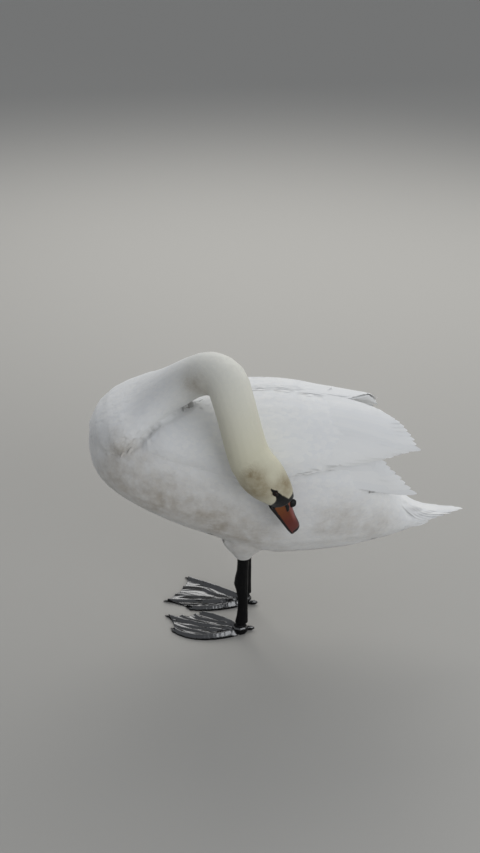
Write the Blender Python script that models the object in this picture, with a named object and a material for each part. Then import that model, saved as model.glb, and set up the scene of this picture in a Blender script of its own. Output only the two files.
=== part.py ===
"""Mute swan standing and preening its left flank: a still, life-size display model.

The bird faces -X, its left side faces -Y and +Z is up; the flat soles rest on z = 0.
Every solid is lofted from a few named stations (a spine, a half-width and two half-heights), then
parted from its neighbours by a thin cut, so that the pieces meet without overlapping.
"""
import math

import bmesh
import bpy
import numpy as np
from mathutils import Matrix, Vector

# ---------------------------------------------------------------------------------- sizes (m)
GAP = 0.0003                # cut between neighbouring pieces
SECTION_POWER = 2.25        # 2 is an ellipse; above 2 the body's section is a little squarer

# Trunk: x, height of the spine, half-width, half-height above and below the spine.
TRUNK = [(-0.3190, 0.4660, 0.020, 0.020, 0.022), (-0.3100, 0.4640, 0.054, 0.052, 0.050),
         (-0.2930, 0.4600, 0.088, 0.078, 0.068), (-0.2610, 0.4520, 0.118, 0.096, 0.085),
         (-0.2190, 0.4440, 0.139, 0.112, 0.102), (-0.1770, 0.4360, 0.150, 0.124, 0.118),
         (-0.1290, 0.4270, 0.156, 0.138, 0.134), (-0.0700, 0.4160, 0.158, 0.156, 0.148),
         (0.0000, 0.4060, 0.157, 0.172, 0.172), (0.0600, 0.4000, 0.154, 0.178, 0.185),
         (0.1250, 0.3960, 0.148, 0.174, 0.181), (0.1920, 0.3880, 0.138, 0.160, 0.168),
         (0.2450, 0.3720, 0.121, 0.132, 0.145), (0.2850, 0.3360, 0.098, 0.092, 0.098),
         (0.3150, 0.3080, 0.077, 0.060, 0.064), (0.3350, 0.2970, 0.064, 0.041, 0.047)]
# Tail: the same five numbers, closing from the rump to the tip of the longest feather.
TAIL = [(0.3353, 0.2968, 0.064, 0.041, 0.047), (0.3600, 0.2870, 0.052, 0.021, 0.025),
        (0.3900, 0.2810, 0.039, 0.0120, 0.0130), (0.4200, 0.2855, 0.0230, 0.0070, 0.0080),
        (0.4500, 0.2900, 0.0120, 0.0045, 0.0050), (0.4700, 0.2925, 0.0065, 0.0030, 0.0030),
        (0.4810, 0.2935, 0.0025, 0.0015, 0.0015)]
# Neck and head: x, y, z of the spine, half-height (crown to throat) and half-width across it.
SPINE = [(-0.3020, 0.0000, 0.4820, 0.0310, 0.0620), (-0.2780, 0.0000, 0.4970, 0.0490, 0.0990),
         (-0.2500, 0.0000, 0.5150, 0.0535, 0.1240),
         (-0.2168, 0.0000, 0.5370, 0.0490, 0.1200), (-0.1952, -0.0040, 0.5509, 0.0460, 0.1080),
         (-0.1701, -0.0140, 0.5726, 0.0445, 0.0850), (-0.1377, -0.0300, 0.6040, 0.0420, 0.0600),
         (-0.0893, -0.0600, 0.6464, 0.0415, 0.0460), (-0.0575, -0.0900, 0.6665, 0.0440, 0.0440),
         (-0.0296, -0.1180, 0.6647, 0.0430, 0.0425), (-0.0159, -0.1450, 0.6370, 0.0418, 0.0415),
         (-0.0023, -0.1680, 0.5942, 0.0410, 0.0408), (0.0085, -0.1810, 0.5560, 0.0415, 0.0408),
         (0.0169, -0.1910, 0.5321, 0.0430, 0.0412), (0.0268, -0.1985, 0.5181, 0.0452, 0.0410),
         (0.0396, -0.2035, 0.5021, 0.0460, 0.0395), (0.0534, -0.2050, 0.4849, 0.0430, 0.0362),
         (0.0664, -0.2040, 0.4684, 0.0365, 0.0310), (0.0758, -0.2015, 0.4533, 0.0300, 0.0255),
         (0.0823, -0.1995, 0.4404, 0.0255, 0.0205)]
SPINE_CUTS = (0.300, 0.500, 0.715, 0.860)   # shares of its length where the spine is parted
CHEEK_DIR = Vector((-0.0574, -0.9916, -0.1158)).normalized()   # towards the right cheek
# Bill: origin between the corners of the gape; lengths run from there along the bill.
BILL_ORIGIN = Vector((0.0595, -0.1960, 0.4328))
BILL_DIR = Vector((0.5201, 0.1000, -0.8483)).normalized()
BILL_LENGTH = 0.0870
# share of the length, half-width, height of the culmen above the edge of the mandible
BILL_UPPER = [(0.00, 0.0190, 0.0440), (0.12, 0.0182, 0.0410), (0.25, 0.0172, 0.0360),
              (0.42, 0.0166, 0.0310), (0.60, 0.0170, 0.0270), (0.78, 0.0170, 0.0238),
              (0.90, 0.0152, 0.0205), (0.97, 0.0104, 0.0150), (1.00, 0.0050, 0.0080)]
BILL_LOWER_DROP = 0.0075
KNOB_RADII = (0.0088, 0.0072, 0.0100)
KNOB_PLACE = (0.19, 0.0365)         # share of the bill's length and height above its edge
EYE_RADIUS = 0.0062
EYE_BEHIND_BILL = 0.0460            # from the root of the bill back along the head
EYE_HEIGHT = 0.0110                 # above the spine of the head
EYE_SINK = 0.0041                   # of its centre below the cheek
# Wings: x, spine height, half-width and half-height of the shell, angles of the two edges (deg
# from straight up), thickness sunk into the body.
WING = [(-0.1950, 0.436, 0.146, 0.128, 46.0, 58.0, 0.002), (-0.1750, 0.434, 0.153, 0.135, 36.0, 62.0, 0.005),
        (-0.1300, 0.427, 0.163, 0.150, 20.0, 64.0, 0.008), (-0.0700, 0.416, 0.168, 0.167, 6.0, 68.0, 0.009),
        (0.0000, 0.406, 0.170, 0.184, 0.0, 76.0, 0.010), (0.0500, 0.401, 0.170, 0.190, 0.0, 74.0, 0.010),
        (0.1000, 0.398, 0.167, 0.190, 0.0, 70.5, 0.010), (0.1500, 0.395, 0.160, 0.184, 0.0, 67.0, 0.010),
        (0.2000, 0.391, 0.151, 0.174, 0.0, 63.0, 0.011), (0.2500, 0.386, 0.140, 0.164, 0.0, 58.0, 0.013),
        (0.2850, 0.381, 0.132, 0.156, 6.0, 54.0, 0.012), (0.3200, 0.376, 0.125, 0.147, 17.0, 52.0, 0.009),
        (0.3450, 0.373, 0.118, 0.136, 30.0, 49.5, 0.005), (0.3600, 0.372, 0.114, 0.126, 43.0, 46.5, 0.001)]
WING_STATIONS = 15
WING_LIFT = {"left": 0.026, "right": 0.052}     # rise of the tip above the folded shell
WING_REACH = {"left": 1.00, "right": 0.58}      # the far wing lies further forward
# Primaries that show below the wing: centre x, y, z, half-depth, half-thickness.
PRIMARIES = [(0.2000, -0.0960, 0.4620, 0.030, 0.0040), (0.2350, -0.0990, 0.4500, 0.044, 0.0055),
             (0.2680, -0.0990, 0.4365, 0.048, 0.0060), (0.3000, -0.0970, 0.4095, 0.034, 0.0050),
             (0.3330, -0.0930, 0.3835, 0.018, 0.0035), (0.3600, -0.0880, 0.3610, 0.003, 0.0015)]
# Feathered thigh: height, x, y (left side), half-depth, half-width.
THIGH = [(0.2900, 0.0160, -0.0700, 0.064, 0.046), (0.2540, 0.0110, -0.0660, 0.053, 0.040),
         (0.2310, 0.0070, -0.0610, 0.034, 0.029), (0.2145, 0.0050, -0.0570, 0.0215, 0.0195),
         (0.2047, 0.0050, -0.0560, 0.0170, 0.0150)]
# Bare leg: height, x, y, half-depth (fore and aft), half-width.
LEG = [(0.2044, 0.0050, -0.0560, 0.0130, 0.0100), (0.1720, 0.0035, -0.0560, 0.0125, 0.0096),
       (0.1520, 0.0015, -0.0560, 0.0145, 0.0110), (0.1380, 0.0000, -0.0560, 0.0160, 0.0122),
       (0.1240, 0.0015, -0.0560, 0.0138, 0.0104), (0.0950, 0.0040, -0.0560, 0.0115, 0.0085),
       (0.0600, 0.0035, -0.0560, 0.0115, 0.0084), (0.0380, 0.0020, -0.0560, 0.0135, 0.0104),
       (0.0293, 0.0010, -0.0560, 0.0145, 0.0112)]
LEG_SHIFT = {"left": (0.0, 0.0), "right": (0.0085, -0.0010)}    # x, y from the mirrored left leg
# Toes of each foot on the floor: the knuckle, one point on the way and the tip.
FOOT_LEFT = {"inner": ((0.000, -0.050), (-0.045, -0.012), (-0.088, 0.010)),
             "middle": ((0.000, -0.056), (-0.085, -0.038), (-0.166, -0.002)),
             "outer": ((0.000, -0.060), (-0.088, -0.079), (-0.152, -0.050))}
FOOT_RIGHT = {"inner": ((0.008, 0.049), (-0.055, 0.030), (-0.118, 0.030)),
              "middle": ((0.008, 0.055), (-0.085, 0.050), (-0.172, 0.056)),
              "outer": ((0.008, 0.060), (-0.062, 0.108), (-0.126, 0.146))}
WEB_THICKNESS = 0.0022
TOE_HALF_WIDTH = 0.0065
WEB_HOLLOW = 0.010                  # the free edge hangs back this far between the toes
TOE_HEIGHT = (0.0150, 0.0062)       # at the knuckle and at the tip
CLAW_LENGTH = 0.013
CLAW_ROOT = 0.004                   # of it inside the toe

# ------------------------------------------------------------------------------ small helpers


def smooth(rows, count=None, at=None):
    """Rows of stations resampled along a smooth curve; the parameter runs from 0 to 1."""
    rows = np.array(rows, float)
    step = np.linalg.norm(np.diff(rows[:, :3], axis=0), axis=1)
    t = np.concatenate(([0.0], np.cumsum(step))) / step.sum()
    slope = np.gradient(rows, t, axis=0)
    at = np.linspace(0, 1, count) if at is None else np.asarray(at, float)
    k = np.clip(np.searchsorted(t, at, side="right") - 1, 0, len(t) - 2)
    h = (t[k + 1] - t[k])[:, None]
    u = ((at - t[k])[:, None]) / h
    return ((2*u**3 - 3*u**2 + 1) * rows[k] + (u**3 - 2*u**2 + u) * h * slope[k]
            + (-2*u**3 + 3*u**2) * rows[k + 1] + (u**3 - u**2) * h * slope[k + 1])


def material(name, colour, roughness):
    mat = bpy.data.materials.new(name)
    mat.use_nodes = True
    shader = mat.node_tree.nodes["Principled BSDF"]
    shader.inputs["Base Color"].default_value = (*colour, 1.0)
    shader.inputs["Roughness"].default_value = roughness
    shader.inputs["Metallic"].default_value = 0.0
    mat.diffuse_color = (*colour, 1.0)
    return mat


def solid(name, rings, mat=None):
    """One closed body through rings of points (all of one length), capped at both ends."""
    bm = bmesh.new()
    grid = [[bm.verts.new(p) for p in ring] for ring in rings]
    n = len(rings[0])
    for lower, upper in zip(grid, grid[1:]):
        for j in range(n):
            k = (j + 1) % n
            bm.faces.new((lower[j], lower[k], upper[k]))
            bm.faces.new((lower[j], upper[k], upper[j]))
    bm.faces.new(list(reversed(grid[0])))
    bm.faces.new(grid[-1])
    bmesh.ops.triangulate(bm, faces=[f for f in bm.faces if len(f.verts) > 3])
    bmesh.ops.recalc_face_normals(bm, faces=bm.faces)
    mesh = bpy.data.meshes.new(name)
    bm.to_mesh(mesh)
    bm.free()
    mesh.shade_smooth()
    obj = bpy.data.objects.new(name, mesh)
    bpy.context.scene.collection.objects.link(obj)
    if mat:
        mesh.materials.append(mat)
    return obj


def combine(obj, other, operation):
    """Boolean applied at once; the other object is used up."""
    mod = obj.modifiers.new("cut", "BOOLEAN")
    mod.operation = operation
    mod.solver = "EXACT"
    mod.object = other
    bpy.context.view_layer.objects.active = obj
    bpy.ops.object.modifier_apply(modifier=mod.name)
    bpy.data.objects.remove(other, do_unlink=True)
    return obj


def room_for(obj, swell=GAP):
    """Copy of a piece, swollen by the gap, to cut a neighbour with."""
    room = bpy.data.objects.new("room", obj.data.copy())
    bpy.context.scene.collection.objects.link(room)
    for v, normal in zip(room.data.vertices, [n.vector.copy() for n in obj.data.vertex_normals]):
        v.co += normal * swell
    return room


def power_ring(centre, side, up, a, b_up, b_down, count, power=SECTION_POWER):
    """Ring of a rounded section; starts at the top and turns towards +side."""
    ring = []
    for k in range(count):
        angle = 2 * math.pi * (k + 0.5) / count
        s, c = math.sin(angle), math.cos(angle)
        s, c = (math.copysign(abs(v) ** (2 / power), v) for v in (s, c))
        ring.append(centre + side * (a * s) + up * ((b_up if c > 0 else b_down) * c))
    return ring


def loft_x(rows, count, around, swell=0.0):
    """Rings across X through (x, z, half-width, half-height up, half-height down) stations."""
    side, up = Vector((0, -1, 0)), Vector((0, 0, 1))
    return [power_ring(Vector((r[0], 0, r[1])), side, up, r[2] + swell, r[3] + swell, r[4] + swell, around)
            for r in smooth(rows, count)]


def spine_frame(tangent, share):
    """Directions to the outside of the bend (the crown, on the head) and to the bird's right."""
    hint = Vector((0, -1, 0)).lerp(CHEEK_DIR, share)
    side = (hint - tangent * hint.dot(tangent)).normalized()
    return side.cross(tangent), side


def spine_piece(name, t0, t1, count, around, mat):
    """Part of the neck and head between two shares of the spine, with a thin gap at its start."""
    length = float(np.linalg.norm(np.diff(smooth(SPINE, 400)[:, :3], axis=0), axis=1).sum())
    at = np.linspace(t0 + (GAP / length if t0 else 0.0), t1, count)
    here, before, after = (smooth(SPINE, at=np.clip(at + d, 0, 1)) for d in (0.0, -0.004, 0.004))
    rings = []
    for row, a, b in zip(here, before, after):
        tangent = Vector(b[:3] - a[:3]).normalized()
        up, side = spine_frame(tangent, float(at[len(rings)]))
        rings.append([Vector(row[:3]) + up * (row[3] * math.cos(2 * math.pi * k / around))
                      + side * (row[4] * math.sin(2 * math.pi * k / around)) for k in range(around)])
    return solid(name, rings, mat)


# ---------------------------------------------------------------------------------- the pieces
for old in list(bpy.data.objects):
    bpy.data.objects.remove(old, do_unlink=True)

WHITE = material("plumage_white", (0.83, 0.82, 0.79), 0.85)
CREAM = material("plumage_cream", (0.76, 0.73, 0.64), 0.85)
ORANGE = material("bill_orange", (0.60, 0.17, 0.06), 0.45)
BLACK = material("bill_black", (0.015, 0.014, 0.014), 0.40)
EYE = material("eye_dark", (0.012, 0.008, 0.006), 0.10)
SKIN = material("leg_black", (0.018, 0.018, 0.020), 0.35)
CLAW = material("claw_black", (0.012, 0.012, 0.012), 0.40)

# Trunk, neck and head: one bent spine whose first length is part of the trunk.
trunk = solid("trunk", loft_x(TRUNK, 24, 22), WHITE)
combine(trunk, spine_piece("neck_base", 0.0, SPINE_CUTS[0], 7, 24, WHITE), "UNION")
neck = spine_piece("neck_lower", SPINE_CUTS[0], SPINE_CUTS[1], 8, 18, WHITE)
combine(trunk, room_for(neck), "DIFFERENCE")
spine_piece("neck_bend", SPINE_CUTS[1], SPINE_CUTS[2], 10, 18, WHITE)
spine_piece("neck_upper", SPINE_CUTS[2], SPINE_CUTS[3], 5, 18, WHITE)
head = spine_piece("head", SPINE_CUTS[3], 1.0, 10, 20, CREAM)

tail = solid("tail", loft_x(TAIL, 10, 16), WHITE)


# Wings: a shell over the back and side of the trunk that closes to a point over the rump.
def reach_back(x, side):
    return x if x < 0.20 else 0.20 + (x - 0.20) * WING_REACH[side]


def wing_lift(x, side):
    return WING_LIFT[side] * max(0.0, (x - 0.16) / 0.20) ** 1.6


def wing_shell(name, side, swell=0.0, across=8):
    sign = -1 if side == "left" else 1
    rings = []
    for x, _, _, zc, a, b, top, low, sunk in smooth([(r[0], 0, 0, *r[1:]) for r in WING], WING_STATIONS):
        lift, x = wing_lift(x, side), reach_back(x, side)
        x += (len(rings) == WING_STATIONS - 1) * swell - (len(rings) == 0) * 3 * swell
        low += math.degrees(2 * swell / a)
        top = max(top - math.degrees(2 * swell / a), 0.0)
        outer, inner = [], []
        for j in range(across):
            share = j / (across - 1)
            angle = math.radians(top + (low - top) * share)
            s, c = (v ** (2 / SECTION_POWER) for v in (math.sin(angle), math.cos(angle)))
            middle = 1 - abs(2 * share - 1) ** 5          # thinner towards both edges
            tuck = -0.008 * (1 - middle) * (share > 0.5)  # the lower edge lies under the flank
            depth = (0.010 + sunk) * (0.35 + 0.65 * middle) + swell
            inside = -swell if s < 0.02 else 0.0          # the cutter passes the mid plane
            for ring, reach in ((outer, tuck + swell), (inner, tuck - depth)):
                y = max((a + reach) * s, 0.0) + inside + GAP
                ring.append((x, sign * y, zc + (b + reach) * c + lift))
        rings.append(outer + inner[::-1])
    return solid(name, rings, WHITE)


def primary_blade(name, side, swell=0.0, around=10):
    sign = -1 if side == "left" else 1
    lie = Vector((0, 0.15 * sign, -0.99)).normalized()
    out = Vector((0, 0.99 * sign, 0.15)).normalized()
    return solid(name, [[Vector((reach_back(x, side), -sign * y, z + wing_lift(x, side)))
                         + lie * ((depth + swell) * math.cos(2 * math.pi * k / around))
                         + out * ((thick + swell) * math.sin(2 * math.pi * k / around))
                         for k in range(around)] for x, y, z, depth, thick in smooth(PRIMARIES, 8)])


for side in ("left", "right"):
    shell = combine(wing_shell("wing_" + side, side), primary_blade("blade", side), "UNION")
    combine(shell, room_for(neck), "DIFFERENCE")
    for body in (trunk, tail):
        combine(body, wing_shell("wing_room", side, GAP), "DIFFERENCE")
        combine(body, primary_blade("blade_room", side, GAP), "DIFFERENCE")


# Legs: feathered thigh, bare leg, webbed foot and claws.
def column(rows, side, count, around, swell=0.0):
    sign = 1 if side == "left" else -1
    dx, dy = LEG_SHIFT[side]
    return [[Vector((x + dx + (depth + swell) * math.cos(2 * math.pi * k / around),
                     y * sign + dy + (width + swell) * math.sin(2 * math.pi * k / around), z))
             for k in range(around)] for z, x, y, depth, width in smooth(rows, count)]


def toe_point(toe, s):
    """Curve through the knuckle, the point half way and the tip of a toe."""
    a, b, c = (Vector(p) for p in toe)
    return a * (1 - s) * (1 - 2 * s) + b * 4 * s * (1 - s) + c * s * (2 * s - 1)


def foot_plate(name, toes):
    """Web and three toes as one plate: flat sole, with a rounded ridge over each toe."""
    names, across, rows = ("inner", "middle", "outer"), (0, .08, .25, .42, .5, .58, .75, .92, 1), 8
    rings = []
    for i in range(rows):
        s = 0.05 + 0.95 * i / (rows - 1)
        line = {n: toe_point(toes[n], s) for n in names}
        ahead = {n: (toe_point(toes[n], s + 0.02) - toe_point(toes[n], s - 0.02)).normalized() for n in names}
        peak = TOE_HEIGHT[0] + (TOE_HEIGHT[1] - TOE_HEIGHT[0]) * s ** 0.6
        top = []
        for share in across:
            first, second = names[:2] if share <= 0.5 else names[1:]
            u = share * 2 if share <= 0.5 else share * 2 - 1
            p = line[first].lerp(line[second], u)
            p = p - ahead[first].lerp(ahead[second], u) * (WEB_HOLLOW * 4 * u * (1 - u) * s ** 3)
            gap = min((p - line[n]).length for n in names)
            ridge = max(0.0, 1 - (gap / TOE_HALF_WIDTH) ** 2) ** 0.5
            top.append((p.x, p.y, WEB_THICKNESS + (peak - WEB_THICKNESS) * ridge))
        for n, at in (("inner", 0), ("outer", len(top) + 1)):
            away = line[n] - line["middle"]
            normal = Vector((-ahead[n].y, ahead[n].x))
            p = line[n] + normal * math.copysign(TOE_HALF_WIDTH, normal.dot(away))
            top.insert(at, (p.x, p.y, 0.0014))
        rings.append(top + [(x, y, 0.0) for x, y, z in reversed(top)])
    return solid(name, rings, SKIN)


def lump(name, centre, radii, around=8, rows=5):
    """Ovoid levelled off at the floor."""
    return solid(name, [[Vector((centre[0] + radii[0] * math.sin(v) * math.cos(2 * math.pi * k / around),
                                 centre[1] + radii[1] * math.sin(v) * math.sin(2 * math.pi * k / around),
                                 max(centre[2] + radii[2] * math.cos(v), 0.0))) for k in range(around)]
                        for v in (math.pi * (i + 0.4) / (rows + 0.8) for i in range(rows + 1))])


def claw(name, tip, ahead, swell=0.0, mat=CLAW):
    """Short claw that grows out of the end of a toe."""
    across = Vector((-ahead.y, ahead.x, 0))
    rings = []
    for share, width, height in ((0, 0.0034, 0.0042), (0.5, 0.0028, 0.0038), (1, 0.0008, 0.0014)):
        width, height = width + swell, height + 2 * swell
        along = CLAW_LENGTH * share - CLAW_ROOT + (swell if share == 1 else -swell if share == 0 else 0)
        rings.append([Vector((tip[0], tip[1], 0.0009 - swell + height / 2 * (1 + math.sin(math.pi * k / 4))))
                      + ahead * along + across * (width * math.cos(math.pi * k / 4)) for k in range(8)])
    return solid(name, rings, mat)


for side, toes in (("left", FOOT_LEFT), ("right", FOOT_RIGHT)):
    sign = -1 if side == "left" else 1
    solid("thigh_" + side, column(THIGH, side, 6, 12), WHITE)
    room = [(THIGH[0][0] + GAP, *THIGH[0][1:])] + THIGH[1:]
    combine(trunk, solid("thigh_room", column(room, side, 6, 12, GAP)), "DIFFERENCE")
    solid("leg_" + side, column(LEG, side, 11, 12), SKIN)
    base = foot_plate("foot_" + side, toes)
    x, y = LEG[-1][1] + LEG_SHIFT[side][0], -sign * LEG[-1][2] + LEG_SHIFT[side][1]
    combine(base, lump("knuckle", (x - 0.003, y, 0.011), (0.0185, 0.0155, 0.0178)), "UNION")
    combine(base, lump("hind_toe", (x + 0.017, y - sign * 0.008, 0.0060), (0.0130, 0.0050, 0.0062)), "UNION")
    for toe, (a, b, c) in toes.items():
        ahead = toe_point((a, b, c), 1.0) - toe_point((a, b, c), 0.96)
        ahead = Vector((ahead.x, ahead.y, 0)).normalized()
        claw("claw_%s_%s" % (side, toe), c, ahead)
        combine(base, claw("claw_room", c, ahead, GAP), "DIFFERENCE")

# Bill, knob and eyes, in the frame of the head.
bill_up, bill_side = spine_frame(BILL_DIR, 1.0)


def mandible(name, upper, mat, count=10, around=14):
    rings = []
    for share, half, height in smooth(BILL_UPPER, count):
        share = min(max(share, 0.0), 1.0)
        centre = BILL_ORIGIN + BILL_DIR * (BILL_LENGTH * (share if upper else share * 0.97))
        ring = []
        for k in range(around):
            across, rise = math.cos(2 * math.pi * k / around), math.sin(2 * math.pi * k / around)
            if upper:
                lift = GAP / 2 + (height * rise ** 0.85 if rise > 1e-9 else 0.0)
            else:
                across *= 0.93
                lift = -GAP / 2 + (BILL_LOWER_DROP * (1 - 0.55 * share) * rise if rise < -1e-9 else 0.0)
            ring.append(centre + bill_side * (half * across) + bill_up * lift)
        rings.append(ring)
    return solid(name, rings, mat)


def ball(name, centre, radii, mat, around=12, rows=7):
    """Ovoid in the bill's own frame: radii along, across and above the bill."""
    rings = []
    for i in range(1, rows):
        v = math.pi * i / rows
        rings.append([centre + BILL_DIR * (radii[0] * math.cos(v))
                      + bill_side * (radii[1] * math.sin(v) * math.cos(2 * math.pi * k / around))
                      + bill_up * (radii[2] * math.sin(v) * math.sin(2 * math.pi * k / around))
                      for k in range(around)])
    return solid(name, rings, mat)


knob_centre = BILL_ORIGIN + BILL_DIR * (BILL_LENGTH * KNOB_PLACE[0]) + bill_up * KNOB_PLACE[1]
beak = mandible("bill_upper", True, ORANGE)
combine(beak, room_for(head), "DIFFERENCE")
combine(mandible("bill_lower", False, BLACK), room_for(head), "DIFFERENCE")
knob = ball("bill_knob", knob_centre, KNOB_RADII, BLACK)
combine(knob, room_for(head), "DIFFERENCE")
combine(beak, ball("knob_room", knob_centre, [r + GAP for r in KNOB_RADII], BLACK), "DIFFERENCE")

last = [Vector(r[:3]) for r in smooth(SPINE, at=(0.93, 1.0))]
head_axis = (last[1] - last[0]).normalized()
up, cheek = spine_frame(head_axis, 1.0)
length = float(np.linalg.norm(np.diff(smooth(SPINE, 400)[:, :3], axis=0), axis=1).sum())
row = smooth(SPINE, at=(1 - EYE_BEHIND_BILL / length,))[0]
for side, sign in (("right", 1), ("left", -1)):
    centre = Vector(row[:3]) + up * EYE_HEIGHT + cheek * (sign * (row[4] - EYE_SINK))
    ball("eye_" + side, centre, (EYE_RADIUS,) * 3, EYE)
    combine(head, ball("socket", centre, (EYE_RADIUS + GAP,) * 3, EYE), "DIFFERENCE")

# The frame's origin: on the floor under the middle of the bird.
corners = [v.co for obj in bpy.data.objects for v in obj.data.vertices]
low, high = (Vector([pick(c[k] for c in corners) for k in range(3)]) for pick in (min, max))
shift = Vector((-(low.x + high.x) / 2, -(low.y + high.y) / 2, -low.z))
for obj in bpy.data.objects:
    obj.data.transform(Matrix.Translation(shift))
print("pieces", len(bpy.data.objects), "moved by", tuple(round(v, 6) for v in shift), "size", tuple(high - low))
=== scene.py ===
# %% [markdown]
# # A mute swan, standing and preening
#
# A life-size swan for a museum shelf: it stands on both webbed feet, its neck bent over in an S so
# that the bill works in the feathers of the left flank. The solids of the frame give its true size and
# outline. Here they get what the eye sees: one skin, the coat of feathers over it, the bare face, the
# bill with its knob, the eyes, and the wet black legs and webs.

# %% The frame and the tools
import math

import bpy
import numpy as np
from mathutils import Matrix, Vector
from mathutils.bvhtree import BVHTree
from mathutils.kdtree import KDTree


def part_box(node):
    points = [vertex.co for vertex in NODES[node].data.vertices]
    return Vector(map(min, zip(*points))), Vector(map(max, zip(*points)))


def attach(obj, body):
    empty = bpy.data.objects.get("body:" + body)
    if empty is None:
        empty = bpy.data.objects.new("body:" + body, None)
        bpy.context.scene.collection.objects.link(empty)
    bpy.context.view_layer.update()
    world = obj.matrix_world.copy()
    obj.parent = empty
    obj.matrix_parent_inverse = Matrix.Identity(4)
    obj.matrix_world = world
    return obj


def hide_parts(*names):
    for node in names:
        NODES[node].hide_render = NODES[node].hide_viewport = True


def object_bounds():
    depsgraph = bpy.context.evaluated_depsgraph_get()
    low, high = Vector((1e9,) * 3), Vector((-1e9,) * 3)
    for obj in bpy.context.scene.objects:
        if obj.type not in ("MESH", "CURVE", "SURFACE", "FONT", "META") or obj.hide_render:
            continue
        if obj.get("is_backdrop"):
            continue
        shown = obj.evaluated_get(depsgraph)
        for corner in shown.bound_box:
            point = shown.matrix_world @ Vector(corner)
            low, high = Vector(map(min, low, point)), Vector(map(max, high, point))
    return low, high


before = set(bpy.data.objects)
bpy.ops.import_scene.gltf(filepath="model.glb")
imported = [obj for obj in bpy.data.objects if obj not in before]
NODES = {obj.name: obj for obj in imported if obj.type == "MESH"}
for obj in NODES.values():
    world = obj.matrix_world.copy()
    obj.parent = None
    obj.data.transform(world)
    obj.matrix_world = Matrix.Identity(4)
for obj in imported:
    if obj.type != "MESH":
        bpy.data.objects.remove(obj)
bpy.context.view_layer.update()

rng = np.random.default_rng(11)

# %% [markdown]
# ## Directions and smooth steps
#
# Two small sums come back in almost every step. One scales a vector to length 1, as a direction has no
# size. The other turns a limit into a smooth rise, so that no form or colour changes with a jump. The
# Map Range node has the same smooth step for shaders, but here it works on arrays of places.

# %% Directions and smooth steps


def unit(v):
    """Directions of length 1."""
    return v / np.maximum(np.linalg.norm(v, axis=-1, keepdims=True), 1e-9)


def ease(low, high, x):
    """0 below low, 1 above high, and a smooth rise between."""
    t = np.clip((np.asarray(x, float) - low) / (high - low), 0, 1)
    return t * t * (3 - 2 * t)


print("a smooth step from 0 to 1 at a quarter of the way:", float(ease(0, 1, 0.25)))

# %% [markdown]
# ## The line of the neck
#
# Feathers follow the bird, so the script needs to know where along the neck a point is. A smooth
# curve through twenty stations, from inside the breast to the root of the bill, gives that, with the
# half-height and half-width of the neck at each. From the curve come three directions: along it,
# towards the crown, and towards the right cheek. A Blender curve object could hold the same line, but
# it can't be asked for the nearest station to many thousand points at once, as arrays can.

# %% Neck stations
MIDLINE = 0.0423                                 # y of the plane that halves the trunk (m)
SPINE = np.array([  # x, y, z, half-height, half-width (m)
    (-0.3830, MIDLINE, 0.4820, 0.0260, 0.0600), (-0.3590, MIDLINE, 0.4970, 0.0430, 0.0980),
    (-0.3310, MIDLINE, 0.5150, 0.0500, 0.1240), (-0.2978, MIDLINE, 0.5370, 0.0490, 0.1200),
    (-0.2762, 0.0383, 0.5509, 0.0460, 0.1080), (-0.2511, 0.0283, 0.5726, 0.0445, 0.0850),
    (-0.2187, 0.0123, 0.6040, 0.0420, 0.0600), (-0.1703, -0.0177, 0.6464, 0.0415, 0.0460),
    (-0.1385, -0.0477, 0.6665, 0.0440, 0.0440), (-0.1106, -0.0757, 0.6647, 0.0430, 0.0425),
    (-0.0969, -0.1027, 0.6370, 0.0418, 0.0415), (-0.0833, -0.1257, 0.5942, 0.0410, 0.0408),
    (-0.0725, -0.1387, 0.5560, 0.0415, 0.0408), (-0.0641, -0.1487, 0.5321, 0.0430, 0.0412),
    (-0.0542, -0.1562, 0.5181, 0.0452, 0.0410), (-0.0414, -0.1612, 0.5021, 0.0460, 0.0395),
    (-0.0276, -0.1627, 0.4849, 0.0430, 0.0362), (-0.0146, -0.1617, 0.4684, 0.0365, 0.0310),
    (-0.0052, -0.1592, 0.4533, 0.0300, 0.0255), (0.0013, -0.1572, 0.4404, 0.0255, 0.0205)])
RIGHT_CHEEK = unit(np.array((-0.0574, -0.9916, -0.1158)))
BILL_ROOT = np.array((-0.0215, -0.1537, 0.4328))        # between the corners of the gape
BILL_ALONG = unit(np.array((0.5201, 0.1000, -0.8483)))
LINE_POINTS = 300
print("neck stations", len(SPINE))

# %% Neck line and directions


def smooth_rows(rows, count):
    """Rows of stations resampled along a smooth curve."""
    t = np.concatenate(([0.0], np.cumsum(np.linalg.norm(np.diff(rows[:, :3], axis=0), axis=1))))
    t /= t[-1]
    slope = np.gradient(rows, t, axis=0)
    at = np.linspace(0, 1, count)
    k = np.clip(np.searchsorted(t, at, side="right") - 1, 0, len(t) - 2)
    h = (t[k + 1] - t[k])[:, None]
    u = (at - t[k])[:, None] / h
    return ((2*u**3 - 3*u**2 + 1) * rows[k] + (u**3 - 2*u**2 + u) * h * slope[k]
            + (-2*u**3 + 3*u**2) * rows[k + 1] + (u**3 - u**2) * h * slope[k + 1])


def frame_at(along, share):
    """Directions to the crown and to the right cheek for a direction along the neck."""
    hint = np.array((0.0, -1.0, 0.0)) * (1 - share) + RIGHT_CHEEK * share
    cheek = unit(hint - along * (hint @ along))
    return np.cross(cheek, along), cheek


LINE = smooth_rows(SPINE, LINE_POINTS)
LINE_ALONG = unit(np.gradient(LINE[:, :3], axis=0))
LINE_CROWN, LINE_CHEEK = (np.array(v) for v in zip(*[frame_at(a, i / (LINE_POINTS - 1))
                                                   for i, a in enumerate(LINE_ALONG)]))
BILL_UP, BILL_SIDE = frame_at(BILL_ALONG, 1.0)
print("neck line", round(float(np.linalg.norm(np.diff(LINE[:, :3], axis=0), axis=1).sum()), 3), "m")

# %% Where a point is along the neck and the bill


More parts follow.
